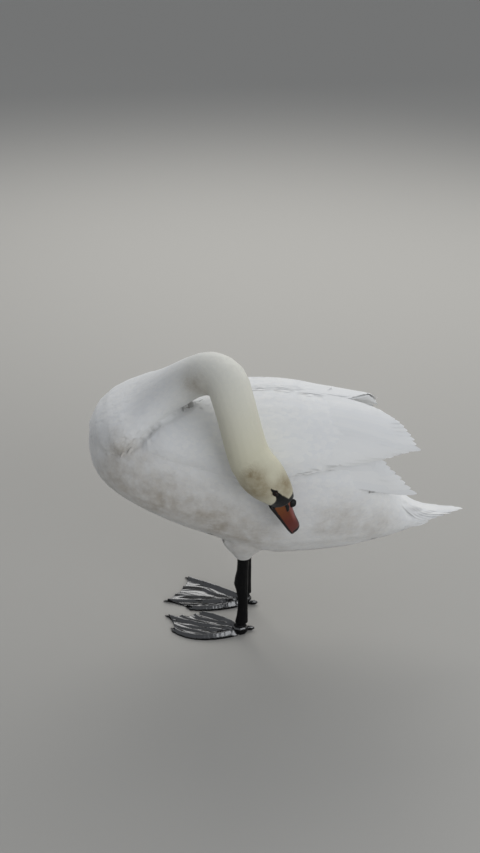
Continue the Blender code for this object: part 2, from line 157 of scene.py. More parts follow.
def on_neck(points):
    """For each point: the nearest station (0 to 1), how far out it is (1 is the surface), its number."""
    nearest = np.empty(len(points), int)
    for i in range(0, len(points), 20000):
        away = points[i:i + 20000, None, :] - LINE[None, :, :3]
        nearest[i:i + 20000] = np.argmin((away ** 2).sum(-1), axis=1)
    off = points - LINE[nearest, :3]
    rise = (off * LINE_CROWN[nearest]).sum(-1) / LINE[nearest, 3]
    side = (off * LINE_CHEEK[nearest]).sum(-1) / LINE[nearest, 4]
    return nearest / (LINE_POINTS - 1), np.hypot(rise, side), nearest


def in_face(points):
    """Points in the frame of the bill: along it, towards the right cheek, and up to the culmen."""
    off = points - BILL_ROOT
    return off @ BILL_ALONG, off @ BILL_SIDE, off @ BILL_UP


print("station nearest to the root of the bill:", int(on_neck(BILL_ROOT[None])[2][0]))

# %% [markdown]
# ## The skin
#
# Under the feathers a swan has one skin, so one mesh replaces all the solids of flesh. The solids are
# copied and joined, and a voxel remesh wraps them in a single surface of small even squares: it closes
# the cuts between them, which a boolean would leave as creases. The squares are then smoothed, and
# halved on the face, where the edge of the feathers has to be sharp.
#
# Blender's operators work on what is selected, so a few helpers select, copy and change whole pieces.
# Vertices are read and moved all at once, as arrays, which is far quicker than one by one.

# %% Copying and shaping solids


def select_only(*objects):
    """Selects these and nothing else; the first is the active one."""
    bpy.ops.object.select_all(action="DESELECT")
    for o in objects:
        o.select_set(True)
    bpy.context.view_layer.objects.active = objects[0]


def new_object(name, data):
    """An object for a mesh, a lamp or a camera, in the scene."""
    made = bpy.data.objects.new(name, data)
    bpy.context.scene.collection.objects.link(made)
    return made


def copy_of(name, *nodes):
    """One object that holds copies of some solids, with their loose triangles merged."""
    copies = [new_object(name, NODES[n].data.copy()) for n in nodes]
    select_only(*copies)
    if len(copies) > 1:
        bpy.ops.object.join()
    made = bpy.context.view_layer.objects.active
    made.name = name
    bpy.ops.object.mode_set(mode="EDIT")
    bpy.ops.mesh.select_all(action="SELECT")
    bpy.ops.mesh.remove_doubles(threshold=1e-5)
    bpy.ops.object.mode_set(mode="OBJECT")
    made.data.materials.clear()
    return made


def apply_modifier(piece, kind, **settings):
    """Adds a modifier with its settings and applies it at once."""
    select_only(piece)
    modifier = piece.modifiers.new(kind.title(), kind)
    for key, value in settings.items():
        setattr(modifier, key, value)
    bpy.ops.object.modifier_apply(modifier=modifier.name)


def remesh(piece, size):
    """Wraps the piece in one closed mesh of even small squares."""
    select_only(piece)
    piece.data.remesh_voxel_size = size
    bpy.ops.object.voxel_remesh()


print("solids to copy from:", len(NODES))

# %% Reading and moving vertices


def places(mesh):
    """The places of a mesh's vertices, as rows of an array."""
    out = np.empty(len(mesh.vertices) * 3)
    mesh.vertices.foreach_get("co", out)
    return out.reshape(-1, 3)


def outward(mesh):
    """The normals of a mesh's vertices, as rows of an array."""
    out = np.empty(len(mesh.vertices) * 3)
    mesh.vertices.foreach_get("normal", out)
    return out.reshape(-1, 3)


def put(mesh, co):
    """Moves a mesh's vertices to new places."""
    mesh.vertices.foreach_set("co", np.asarray(co, np.float32).ravel())
    mesh.update()


print("points of the trunk's solid:", len(places(NODES["trunk"].data)))

# %% Skin: the solids as one tree of faces
FLESH = ("trunk", "neck_lower", "neck_bend", "neck_upper", "head", "tail",
         "wing_left", "wing_right", "thigh_left", "thigh_right")
SKIN_SQUARE = 0.0040                             # side of the remesh's squares (m)

own_faces, own_points, owner = [], [], []
for number, node in enumerate(FLESH):
    data = NODES[node].data
    start = sum(len(p) for p in own_points)
    own_points.append(places(data))
    own_faces += [[start + v for v in p.vertices] for p in data.polygons]
    owner += [number] * len(data.polygons)
OWNER_TREE = BVHTree.FromPolygons([tuple(p) for p in np.concatenate(own_points)], own_faces)
owner = np.array(owner)


def part_of(points):
    """Which solid of flesh each point belongs to, as a number in FLESH."""
    return owner[[OWNER_TREE.find_nearest(p)[2] for p in points]]


print("flesh", len(owner), "faces of", len(FLESH), "solids")

# %% Skin: join, remesh, smooth
skin = copy_of("skin", *FLESH)
remesh(skin, SKIN_SQUARE)
apply_modifier(skin, "SMOOTH", factor=0.5, iterations=7)
print("skin", len(skin.data.polygons), "squares")

# %% Skin: finer squares on the face
along, side, up = in_face(places(skin.data))
near_face = (along > -0.075) & (np.abs(side) < 0.048) & (np.abs(up - 0.025) < 0.05)
select_only(skin)
bpy.ops.object.mode_set(mode="EDIT")
bpy.ops.mesh.select_all(action="DESELECT")
bpy.ops.object.mode_set(mode="OBJECT")
for face in skin.data.polygons:
    face.select = bool(near_face[list(face.vertices)].all())
bpy.ops.object.mode_set(mode="EDIT")
bpy.ops.mesh.subdivide(number_cuts=1)
bpy.ops.object.mode_set(mode="OBJECT")
apply_modifier(skin, "SMOOTH", factor=0.5, iterations=1)
print("skin with a finer face", len(skin.data.polygons), "faces")

# %% [markdown]
# ## Room for the coat
#
# The tips of the feathers and not the skin reach the outline, so the skin is sunk by the depth of the
# coat, less where the body is thin. A Shrinkwrap or Displace modifier with a vertex group could do it;
# arrays let each rule be read. Where two masses meet in a valley, as under the crook of the neck and
# below the wing, the plumage parts in a dark line. Such a fold is found by comparing each vertex with
# the mean of its surroundings, and there the skin sinks further. The skin's colour is darkened there
# too, a painted shade that draws the line more sharply than the squares can.

# %% Skin: measuring folds
HEAD, LEFT_WING = FLESH.index("head"), FLESH.index("wing_left")
COAT_DEPTH = {"trunk": 0.0028, "neck_lower": 0.0022, "neck_bend": 0.0018, "neck_upper": 0.0016,
              "head": 0.0012, "tail": 0.0016, "wing_left": 0.0028, "wing_right": 0.0028,
              "thigh_left": 0.0024, "thigh_right": 0.0024}


def spread(values, mesh, rounds):
    """Averages numbers over each vertex's neighbours, a few times over."""
    ends = np.empty(len(mesh.edges) * 2, int)
    mesh.edges.foreach_get("vertices", ends)
    first, second = ends.reshape(-1, 2).T
    total = len(values)
    near = np.bincount(ends, minlength=total) + 1
    for _ in range(rounds):
        values = (values + np.bincount(first, values[second], total)
                  + np.bincount(second, values[first], total)) / near
    return values


def hollow(mesh, rounds):
    """How far each vertex lies below its surroundings (m): above 0 only in a fold."""
    co = places(mesh)
    around = np.stack([spread(co[:, k], mesh, rounds) for k in range(3)], -1)
    return ((around - co) * outward(mesh)).sum(-1)


def face_fade(points):
    """Share of the coat's depth that is left: feathers shorten towards the bill."""
    return 1 - 0.75 * ease(-0.055, -0.012, in_face(points)[0])


skin_points, skin_normals = places(skin.data), outward(skin.data)
skin_part = part_of(skin_points)
x, y, z = skin_points.T
between_wings = (np.abs(y - MIDLINE) < 0.035) & (z > 0.53) & (x > -0.14)        # no parting on the back
fold = np.where((skin_part == HEAD) | between_wings, 0, hollow(skin.data, 6))
print("folds, mm below their surroundings:", [round(float(np.percentile(fold, q)) * 1000, 2)
                                              for q in (50, 90, 95, 98, 99.5, 100)])

# %% Skin: sink it by the depth of the coat
THIN_SHARE = 0.30           # where the body is thin, the skin sinks by this share of its thickness
REAR_RIM = 0.0075           # further in at the left wing's rear rim, which only long feathers cross (m)
FOLD_GAIN, FOLD_FROM, FOLD_MOST = 6.0, 0.0004, 0.0060      # extra depth where two masses meet
depth = np.array([COAT_DEPTH[n] for n in FLESH])[skin_part]
depth *= np.where(skin_part == HEAD, face_fade(skin_points), 1)
far_side = BVHTree.FromObject(skin, bpy.context.evaluated_depsgraph_get())
for i, (p, n) in enumerate(zip(skin_points, skin_normals)):
    hit = far_side.ray_cast(p - n * 2e-4, -n, 0.04)
    if hit[0] is not None:
        depth[i] = min(depth[i], THIN_SHARE * hit[3])
at_rear, facing_rear = ease(0.09, 0.12, x), ease(0.15, 0.60, skin_normals[:, 0])
depth += (skin_part == LEFT_WING) * at_rear * REAR_RIM * facing_rear
depth = spread(depth, skin.data, 4)
depth += spread(np.clip(FOLD_GAIN * (fold - FOLD_FROM), 0, FOLD_MOST), skin.data, 1)
# painted shade: the skin's colour is darkened grey-brown along the deeper folds, as the shadow line where the
# plumage parts
SKIN_PARTING_SHADE = spread(ease(0.0017, 0.0034, fold), skin.data, 1)
SKIN_CREASE = np.clip(1.6 * spread(ease(0.0005, 0.0016, fold), skin.data, 3), 0, 1)
put(skin.data, skin_points - skin_normals * depth[:, None])
apply_modifier(skin, "SMOOTH", factor=0.4, iterations=2)
skin.data.shade_smooth()
print("skin sunk by", round(float(depth.mean()) * 1000, 1), "mm on average")

# %% [markdown]
# ## The markings
#
# The whole bird is white, but not one white: the head and upper neck are cream, stained buff by the
# iron in pond mud, and the breast and belly are greyer and a little brown where they touch the water.
# One function gives these as two numbers for any place on the bird, and skin and feathers both take
# them, so they always agree. A painted image could hold them too, but would need a map of the whole
# bird; a short list of soft round stains is enough.

# %% Markings
STAINS = (  # x, y, z, radius, strength of the brown (m)
    (-0.0480, -0.1990, 0.5110, 0.024, 0.95), (-0.0560, -0.1900, 0.4850, 0.034, 0.70),
    (-0.0380, -0.2000, 0.4750, 0.022, 0.55), (0.0103, -0.1796, 0.4859, 0.030, 0.85),
    (-0.1632, -0.0835, 0.6550, 0.032, 0.50),
    (-0.3135, -0.0773, 0.5250, 0.040, 0.40), (-0.3474, -0.0687, 0.4550, 0.070, 0.42),
    (-0.2651, -0.1056, 0.4180, 0.080, 0.50), (-0.1648, -0.1104, 0.3600, 0.080, 0.52),
    (-0.0833, -0.0965, 0.3100, 0.080, 0.38), (0.1020, -0.0942, 0.3400, 0.070, 0.34),
    (0.1900, -0.0600, 0.3050, 0.060, 0.30), (0.0000, 0.0400, 0.2200, 0.150, 0.35),
    (-0.2600, 0.1500, 0.4000, 0.110, 0.35), (-0.0600, 0.1700, 0.3300, 0.110, 0.30))


def markings(points):
    """Cream (0 to 1) and brown stain (0 to 1) at each point."""
    share, out, _ = on_neck(points)
    cream = ease(0.30, 0.92, share) * ease(1.5, 1.2, out) + 0.05
    clean = np.ones(len(points))
    for *centre, radius, strength in STAINS:
        gone = ((points - np.array(centre)) ** 2).sum(-1) / radius ** 2
        clean *= 1 - strength * np.exp(-1.4 * gone)
    return np.clip(cream, 0, 1), 1 - clean


print("stains", len(STAINS))

# %% The bare face


def mark(mesh, name, values, kind="FLOAT"):
    """Stores one number (or one vector) per vertex, for a material to read."""
    made = mesh.attributes.get(name) or mesh.attributes.new(name, kind, "POINT")
    key = "value" if kind == "FLOAT" else "vector"
    made.data.foreach_set(key, np.asarray(values, np.float32).ravel())


def bare_face(points):
    """1 on the naked black skin between the eye and the bill, 0 on feathers."""
    along, side, up = in_face(points)
    side = np.abs(side)
    upper = np.interp(along, (-0.058, -0.047, -0.037, -0.015, 0.004),
                      (0.0345, 0.0385, 0.0405, 0.0440, 0.0460))
    lower = np.interp(along, (-0.058, -0.050, -0.038, -0.027, -0.020, -0.010, 0.0, 0.01),
                      (0.0335, 0.0305, 0.0310, 0.0285, 0.0215, 0.0040, -0.0040, -0.0060))
    inside = np.minimum.reduce([upper - up, up - lower, along + 0.056, side - 0.0035,
                                0.020 - along, 0.044 - side])
    collar = np.minimum.reduce([along + 0.0065, up - 0.002, 0.055 - up, 0.040 - side])
    return ease(-0.0008, 0.0008, np.maximum(inside, collar))     # the collar is the root of the bill


cream, stain = markings(places(skin.data))
mark(skin.data, "markings", np.stack([cream, stain, np.full(len(cream), 0.5)], -1), "FLOAT_VECTOR")
mark(skin.data, "bare", bare_face(places(skin.data)))
# the painted shade of the folds, for the skin's finish to read
mark(skin.data, "parting", SKIN_PARTING_SHADE)
print("stained share of the skin", round(float((stain > 0.3).mean()), 2))

# %% [markdown]
# ## Which way the feathers lie
#
# A groomer combs fur with a few guide strokes and lets the rest follow. The same is done here: on the
# neck and head feathers point away from the bill, along the neck. On the body some thirty strokes, on
# both sides, tell which way the plumage runs, down the breast, back along the belly and flanks, and
# in to the tips of the wings. Between strokes the direction is a weighted mean laid into the surface.

# %% Guide strokes
STROKES = (  # place (x, distance out from the middle, z) and direction (x, outwards, z)
    ((-0.400, 0.00, 0.46), (0.0, 0.0, -1.0)), ((-0.390, 0.06, 0.44), (0.2, 0.3, -1.0)),
    ((-0.380, 0.00, 0.52), (-0.6, 0.0, -0.8)), ((-0.345, 0.10, 0.50), (0.1, 0.3, -1.0)),
    ((-0.350, 0.08, 0.40), (0.7, 0.1, -0.8)), ((-0.330, 0.00, 0.36), (1.0, 0.0, -0.7)),
    ((-0.290, 0.14, 0.46), (0.8, 0.1, -0.6)), ((-0.240, 0.13, 0.36), (1.0, 0.0, -0.4)),
    ((-0.200, 0.00, 0.29), (1.0, 0.0, -0.3)), ((-0.080, 0.00, 0.23), (1.0, 0.0, 0.0)),
    ((-0.080, 0.14, 0.32), (1.0, 0.0, 0.0)), ((0.050, 0.00, 0.21), (1.0, 0.0, 0.1)),
    ((0.050, 0.13, 0.31), (1.0, 0.0, 0.15)), ((0.160, 0.10, 0.29), (1.0, -0.1, 0.1)),
    ((0.160, 0.00, 0.23), (1.0, 0.0, 0.3)), ((0.240, 0.05, 0.26), (1.0, -0.2, 0.2)),
    ((0.300, 0.00, 0.28), (1.0, 0.0, 0.0)), ((-0.280, 0.08, 0.54), (0.7, 0.5, -0.5)),
    ((-0.260, 0.13, 0.50), (1.0, 0.1, -0.1)), ((-0.200, 0.06, 0.58), (1.0, 0.4, -0.1)),
    ((-0.150, 0.15, 0.50), (1.0, 0.05, 0.0)), ((-0.080, 0.02, 0.60), (1.0, 0.1, 0.0)),
    ((-0.050, 0.16, 0.48), (1.0, 0.0, 0.0)), ((-0.050, 0.10, 0.57), (1.0, 0.1, 0.0)),
    ((0.050, 0.02, 0.59), (1.0, 0.05, 0.0)), ((0.050, 0.15, 0.48), (1.0, 0.0, -0.02)),
    ((0.120, 0.03, 0.57), (1.0, 0.1, -0.15)), ((0.150, 0.12, 0.47), (1.0, -0.1, -0.05)),
    ((0.200, 0.05, 0.55), (1.0, 0.25, -0.55)), ((0.240, 0.09, 0.48), (1.0, 0.1, -0.5)))
stroke_at, stroke_to = [], []
for (x, y, z), (dx, dy, dz) in STROKES:
    for sign in (-1, 1):
        stroke_at.append((x, MIDLINE + sign * y, z))
        stroke_to.append((dx, sign * dy, dz))
stroke_at, stroke_to = np.array(stroke_at), unit(np.array(stroke_to))
THIGHS = [FLESH.index(n) for n in ("thigh_left", "thigh_right")]


def lie(points, normals, part):
    """Unit direction in which a feather rooted at each point lies."""
    gap = ((points[:, None] - stroke_at[None]) ** 2).sum(-1) + 0.02 ** 2
    body = unit((stroke_to[None] / (gap ** 2)[..., None]).sum(1))
    body[np.isin(part, THIGHS)] = (0.1, 0.0, -1.0)
    share, out, nearest = on_neck(points)
    weight = ease(0.05, 0.17, share) * ease(1.28, 1.08, out)
    way = unit(body) * (1 - weight)[:, None] - LINE_ALONG[nearest] * weight[:, None]
    way -= normals * (way * normals).sum(-1, keepdims=True)
    return unit(way)


print("guide strokes", len(stroke_at))

# %% [markdown]
# ## Where the feathers root
#
# Real feathers stand in tracts, spaced evenly and closer where they are small. Points are thrown on
# the skin at random, more where feathers are small, and taken one by one: each one that is kept
# removes those nearer than the spacing there. That gives an even cover without the rows of a grid. A
# particle system scatters as well, but its hairs aren't meshes. The skin is unwrapped first, so that
# each root also has a place on its map.

# %% Unwrapping and sampling the skin
select_only(skin)
bpy.ops.object.mode_set(mode="EDIT")
bpy.ops.mesh.select_all(action="SELECT")
bpy.ops.uv.smart_project(angle_limit=1.15, island_margin=0.002)
bpy.ops.object.mode_set(mode="OBJECT")
skin.data.uv_layers[0].name = "OFBake"
apply_modifier(skin, "TRIANGULATE")
mesh = skin.data
TRI = np.empty(len(mesh.polygons) * 3, int)
mesh.polygons.foreach_get("vertices", TRI)
TRI = TRI.reshape(-1, 3)
SKIN_AT, SKIN_OUT = places(mesh), outward(mesh)
tri_uv = np.empty(len(mesh.loops) * 2)
mesh.uv_layers["OFBake"].data.foreach_get("uv", tri_uv)
TRI_UV = tri_uv.reshape(-1, 3, 2)
TRI_OUT = unit(SKIN_OUT[TRI].mean(1))
SKIN_TREE = BVHTree.FromPolygons([tuple(p) for p in SKIN_AT], [tuple(t) for t in TRI])
EYES = [np.array(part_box(n)).mean(0) for n in ("eye_left", "eye_right")]
print("skin triangles", len(TRI))

# %% How far apart feathers stand


def spacing(points, part):
    """Distance between the roots of neighbouring feathers (m)."""
    share, out, _ = on_neck(points)
    neck = np.interp(share, (0.20, 0.34, 0.50, 0.80, 0.93, 1.0),
                     (0.0058, 0.0048, 0.0040, 0.0034, 0.0025, 0.0020))
    body = np.full(len(points), 0.0060)
    wing = np.interp(points[:, 0], (-0.27, -0.15, 0.0, 0.12, 0.25), (0.0055, 0.0060, 0.0072, 0.0088, 0.0090))
    names = np.array(FLESH)[part]
    body = np.where(np.char.startswith(names, "wing"), wing, body)
    body = np.where(np.char.startswith(names, "thigh"), 0.0042, body)
    weight = ease(0.16, 0.34, share) * ease(1.35, 1.12, out)
    return neck * weight + body * (1 - weight)


SKIN_WAY = lie(SKIN_AT, SKIN_OUT, part_of(SKIN_AT))
SKIN_WAY = unit(np.stack([spread(SKIN_WAY[:, k], mesh, 45) for k in range(3)], -1))
print("direction of the plumage at", len(SKIN_WAY), "places")

# %% Thinning points to an even distance
NEAREST = 0.86                  # least distance between two roots, as a share of the spacing


def thinned(at, out, near):
    """Numbers of the points that stay: each one kept removes those nearer than its own distance."""
    kd = KDTree(len(at))
    for i, p in enumerate(at):
        kd.insert(p, i)
    kd.balance()
    gone, kept = np.zeros(len(at), bool), []
    for i in range(len(at)):
        if not gone[i]:
            kept.append(i)
            for _, j, _ in kd.find_range(at[i], near[i]):
                if out[i] @ out[j] > -0.2:              # not on the far side of a thin part
                    gone[j] = True
    return np.array(kept)


print("least distance between two roots:", NEAREST, "of the spacing")

# %% Throwing the roots
THROWN = 300000
PARTED = 0.66                   # a crease deeper than this is a parting, where nothing is rooted
EYE_RING = 0.0078               # radius of the ring without feathers round each eye (m)


def throw_roots(count):
    """Even, seeded roots over the skin: place, normal, direction, place on the unwrap, spacing, crease."""
    a, b, c = (SKIN_AT[TRI[:, k]] for k in range(3))
    area = np.linalg.norm(np.cross(b - a, c - a), axis=1) / 2
    middle = (a + b + c) / 3
    room = spacing(middle, part_of(middle))
    chance = area / room ** 2
    pick = rng.choice(len(TRI), count, p=chance / chance.sum())
    u, v = rng.random((2, count))
    u, v = np.where(u + v > 1, 1 - u, u), np.where(u + v > 1, 1 - v, v)
    w = np.stack([1 - u - v, u, v], -1)[..., None]
    at, uv = (SKIN_AT[TRI[pick]] * w).sum(1), (TRI_UV[pick] * w).sum(1)
    out, way = unit((SKIN_OUT[TRI[pick]] * w).sum(1)), (SKIN_WAY[TRI[pick]] * w).sum(1)
    crease = (SKIN_CREASE[TRI[pick]] * w[..., 0]).sum(1)
    way = unit(way - out * (way * out).sum(-1, keepdims=True))
    kept = thinned(at, out, room[pick] * NEAREST)
    return [v[kept] for v in (at, out, way, uv, room[pick], crease)]


roots = throw_roots(THROWN)
eye_gap = np.min([np.linalg.norm(roots[0] - e, axis=1) for e in EYES], axis=0)
feathered = (bare_face(roots[0]) < 0.3) & (eye_gap > EYE_RING) & (roots[5] < PARTED)
root_at, root_out, root_way, root_uv, root_room, root_crease = (v[feathered] for v in roots)
root_part = part_of(root_at)
print("feather roots", len(root_at))

# %% [markdown]
# ## One feather, many times
#
# A contour feather is a thin leaf: narrow at the root, broad and round at the end, a little roofed
# along its shaft. Twenty thousand objects would be slow to make and to select, so the leaf is a table
# of widths, and arrays of numbers build all the leaves of a tract as one mesh, each leaf closed. Each
# feather walks over the skin from its root, bends with it, and rises from the skin to the outline, so
# that its tip lies over the roots behind it, as tiles do. Where the skin turns away too sharply it goes
# straight on, as a feather does past the edge of a wing.

# %% The leaf's outlines and sizes
VELVET = ((0.0, 0.30), (0.40, 1.00), (0.78, 0.78), (1.0, 0.14))
CONTOUR = ((0.0, 0.25), (0.32, 0.85), (0.64, 1.00), (0.84, 0.86), (0.95, 0.54), (1.0, 0.16))
CAMBER, THICK = 0.07, 0.00025          # a vane's fall towards its edges, as a share; its thickness (m)
STRAY = {"wing_left": 0.0010, "wing_right": 0.0010, "rump": 0.0020}     # how far a tip may stand out (m)
STRAY_ELSEWHERE = 0.0035
LEAST_RISE = 0.0002             # a leaf's least height over the skin (m)
RAGGED = 0.012                  # how unevenly a vane's edge ends, as a share of the leaf's length
BAKE_PATCH = 0.003              # side of a leaf's patch on the skin's unwrap, as a share of the whole
print("a leaf has", 3 * len(CONTOUR), "points, and a small one", 3 * len(VELVET))

# %% A feather's walk over the skin


def walk(at, out, way, step):
    """One step over the skin: round a swell, but straight on past an edge or into a fold."""
    ahead = at + way * step[:, None]
    new_at, new_out = ahead.copy(), out.copy()
    for i, p in enumerate(ahead):
        hit = SKIN_TREE.find_nearest(p)
        n = TRI_OUT[hit[2]]
        least = 0.90 if way[i] @ n < -0.02 else 0.66        # a fold may turn a feather less than a swell
        if n @ out[i] > least and hit[3] < 0.55 * step[i] + 0.003:
            new_at[i], new_out[i] = hit[0], n
    new_out = unit(out * 0.25 + new_out * 0.75)
    way = unit(way - new_out * (way * new_out).sum(-1, keepdims=True))
    return new_at, new_out, way


print("steps from root to tip:", len(CONTOUR) - 1)

# %% How far a point is outside the solids


def over_by(points):
    """How far each point stands outside the solids of flesh (m), below 0 inside them."""
    gap = np.empty(len(points))
    for i, p in enumerate(points):
        at, n, _, far = OWNER_TREE.find_nearest(p)
        gap[i] = far if (Vector(p) - at).dot(n) > 0 else -far
    return gap


print("skin under the solids:", round(float(-over_by(SKIN_AT[::200]).mean()) * 1000, 1), "mm on average")

# %% One leaf on its way


def leaf_grid(at, out, way, length, width, rise, step, lift, roof, shape):
    """Points and shading directions of closed leaves: left edge, shaft and right edge, row by row."""
    grid, facing = np.empty((2, len(at), len(shape), 3, 3))
    ragged = rng.normal(0, RAGGED, (len(at), len(shape), 2))
    for k, (share, wide) in enumerate(shape):
        if k:
            at, out, way = walk(at, out, way, length * (share - shape[k - 1][0]))
        across = np.cross(out, way)
        high = rise * (1 - (1 - share) ** 3.5) + step * share + lift * share ** 3 + LEAST_RISE
        half = (width * wide)[:, None]
        middle = at + out * high[:, None]
        edge = middle - out * (CAMBER * half + THICK * 0.2)
        grid[:, k, 1] = middle + out * (THICK * (1 - 0.7 * share))
        for j, sign in ((0, -1), (2, 1)):
            shift = way * (length * ragged[:, k, j // 2] * (0.5 < share < 0.9))[:, None]
            grid[:, k, j] = edge + across * half * sign + shift
        for j in range(3):
            facing[:, k, j] = unit(out + across * (roof * (j - 1)) + way * (0.10 * share ** 3))
    return grid, facing


def vanes(name, at, out, way, uv, length, width, rise, step, lift, roof, shape, stray):
    """A coat piece: a leaf per root. One that sticks out past the solids is halved, then left out."""
    grid, facing = leaf_grid(at, out, way, length, width, rise, step, lift, roof, shape)
    far = over_by(grid[:, -1, 1]) > stray
    if far.any():
        length = np.where(far, length * 0.5, length)
        grid[far], facing[far] = leaf_grid(at[far], out[far], way[far], length[far], width[far] * 0.8,
                                           rise[far], step, lift[far] * 0.5, roof, shape)
    kept = over_by(grid[:, -1, 1]) < stray * 1.3
    return leaf_mesh(name, grid[kept], facing[kept], at[kept], uv[kept], length[kept], width[kept], shape)


print("a leaf is", THICK * 1000, "mm thick")

# %% The faces of closed leaves


def leaf_faces(count, rows):
    """Point numbers of all quads and end caps of closed leaves, and which quads are undersides."""
    faces, low_side = [], []
    for k in range(rows - 1):
        a, b = 3 * k, 3 * k + 3
        faces += [(a, b, b + 1, a + 1), (a + 1, b + 1, b + 2, a + 2), (a + 2, b + 2, b, a)]
        low_side += [False, False, True]
    caps = [(0, 1, 2), (3 * rows - 3, 3 * rows - 1, 3 * rows - 2)]
    first = 3 * rows * np.arange(count)[:, None, None]
    quads = (np.array(faces)[None] + first).reshape(-1, 4)
    tris = (np.array(caps)[None] + first).reshape(-1, 3)
    return quads, tris, np.tile(low_side, count)


print("faces of one leaf:", sum(len(faces) for faces in leaf_faces(1, len(CONTOUR))[:2]))

# %% All leaves of a tract as one mesh


def leaf_mesh(name, grid, facing, start, uv, length, width, shape):
    """Closed leaves from their grids of points: left edge, shaft and right edge, row by row."""
    count, rows = grid.shape[:2]
    per = 3 * rows                              # points in a leaf
    quads, tris, low_side = leaf_faces(count, rows)
    mesh = bpy.data.meshes.new(name)
    mesh.vertices.add(per * count)
    mesh.loops.add(quads.size + tris.size)
    mesh.polygons.add(len(quads) + len(tris))
    loops = np.concatenate([quads.ravel(), tris.ravel()])
    mesh.loops.foreach_set("vertex_index", loops)
    mesh.polygons.foreach_set("loop_start", np.concatenate([
        4 * np.arange(len(quads)), quads.size + 3 * np.arange(len(tris))]))
    mesh.update()
    put(mesh, grid)
    mesh.shade_smooth()
    flat = np.concatenate([low_side, np.ones(len(tris), bool)])
    if "sharp_face" not in mesh.attributes:
        mesh.attributes.new("sharp_face", "BOOLEAN", "FACE")
    mesh.attributes["sharp_face"].data.foreach_set("value", flat)
    row, column = np.divmod(np.tile(np.arange(per), count), 3)
    each = np.repeat(np.arange(count), per)
    share, wide = (np.array(v)[row] for v in zip(*shape))
    barb = np.stack([(column - 1) * wide * width[each], share * length[each]], -1)
    bake = uv[each] + np.stack([(column - 1) * wide * 0.5, share - 0.5], -1) * BAKE_PATCH
    for label, values in (("OFBake", bake), ("barbs", barb)):
        layer = mesh.uv_layers.new(name=label)
        layer.data.foreach_set("uv", values[loops].astype(np.float32).ravel())
    cream, stain = markings(start)
    tint = rng.random(count)
    mark(mesh, "markings", np.stack([cream, stain, tint], -1)[each], "FLOAT_VECTOR")
    turned = facing.reshape(-1, 3)[loops]
    turned[:quads.size][np.repeat(low_side, 4)] = 0                     # undersides keep their own
    turned[quads.size:] = 0
    mesh.normals_split_custom_set(turned)
    return new_object(name, mesh)


print("side of a leaf's patch on the unwrap:", BAKE_PATCH)

# %% [markdown]
# ## The coat, tract by tract
#
# Length and width follow the spacing, so that each place is covered several feathers deep. The neck is
# velvet: small, short and pressed flat. The breast and belly are loose and a little ruffled. On the
# wings the coverts grow longer towards the tips, and they end where the long feathers take over.

# %% Which tract each root belongs to
names = np.array(FLESH)[root_part]
root_share, root_out_share, _ = on_neck(root_at)
neckish = (root_share > 0.24) & (root_out_share < 1.30)
tract = np.where(neckish & (root_share > 0.84), "head", np.where(neckish, "neck", "body"))
tract = np.where(~neckish & np.char.startswith(names, "wing_left"), "wing_left", tract)
tract = np.where(~neckish & np.char.startswith(names, "wing_right"), "wing_right", tract)
tract = np.where(~neckish & np.char.startswith(names, "thigh"), "thighs", tract)
tract = np.where(~neckish & (names == "tail"), "rump", tract)
front = root_at[:, 0] < -0.05
tract = np.where((tract == "body") & front, "breast", np.where(tract == "body", "belly", tract))
winged = np.char.startswith(tract, "wing")
last_covert = np.where(root_at[:, 2] > 0.468, 0.105, 0.130)         # further back low on the wing
covered = winged & (root_at[:, 0] > last_covert)
covered |= (tract == "rump") & (root_at[:, 0] > 0.300)
tract = np.where(covered, "under long feathers", tract)
print("roots by tract", {str(t): int((tract == t).sum()) for t in np.unique(tract)})

# %% Growing the coat
coat = []
TRACTS = {  # length and half-width in spacings, rise and step (m), turn (degrees), ruffle (m), roof, leaf
    "head": (3.6, 0.92, 0.0006, 0.0003, 4, 0.00003, 0.06, VELVET),
    "neck": (4.2, 0.95, 0.0011, 0.0004, 4, 0.00005, 0.06, VELVET),
    "breast": (4.2, 1.02, 0.0020, 0.0006, 6, 0.00020, 0.09, CONTOUR),
    "belly": (4.2, 1.02, 0.0020, 0.0006, 6, 0.00015, 0.08, CONTOUR),
    "wing_left": (4.2, 1.00, 0.0020, 0.0006, 3, 0.00006, 0.05, CONTOUR),
    "wing_right": (4.2, 1.00, 0.0020, 0.0006, 3, 0.00006, 0.05, CONTOUR),
    "thighs": (3.6, 0.96, 0.0017, 0.0005, 6, 0.00015, 0.08, CONTOUR),
    "rump": (4.2, 0.96, 0.0010, 0.0004, 3, 0.00006, 0.06, CONTOUR)}
THIGH_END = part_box("thigh_left")[0][2]
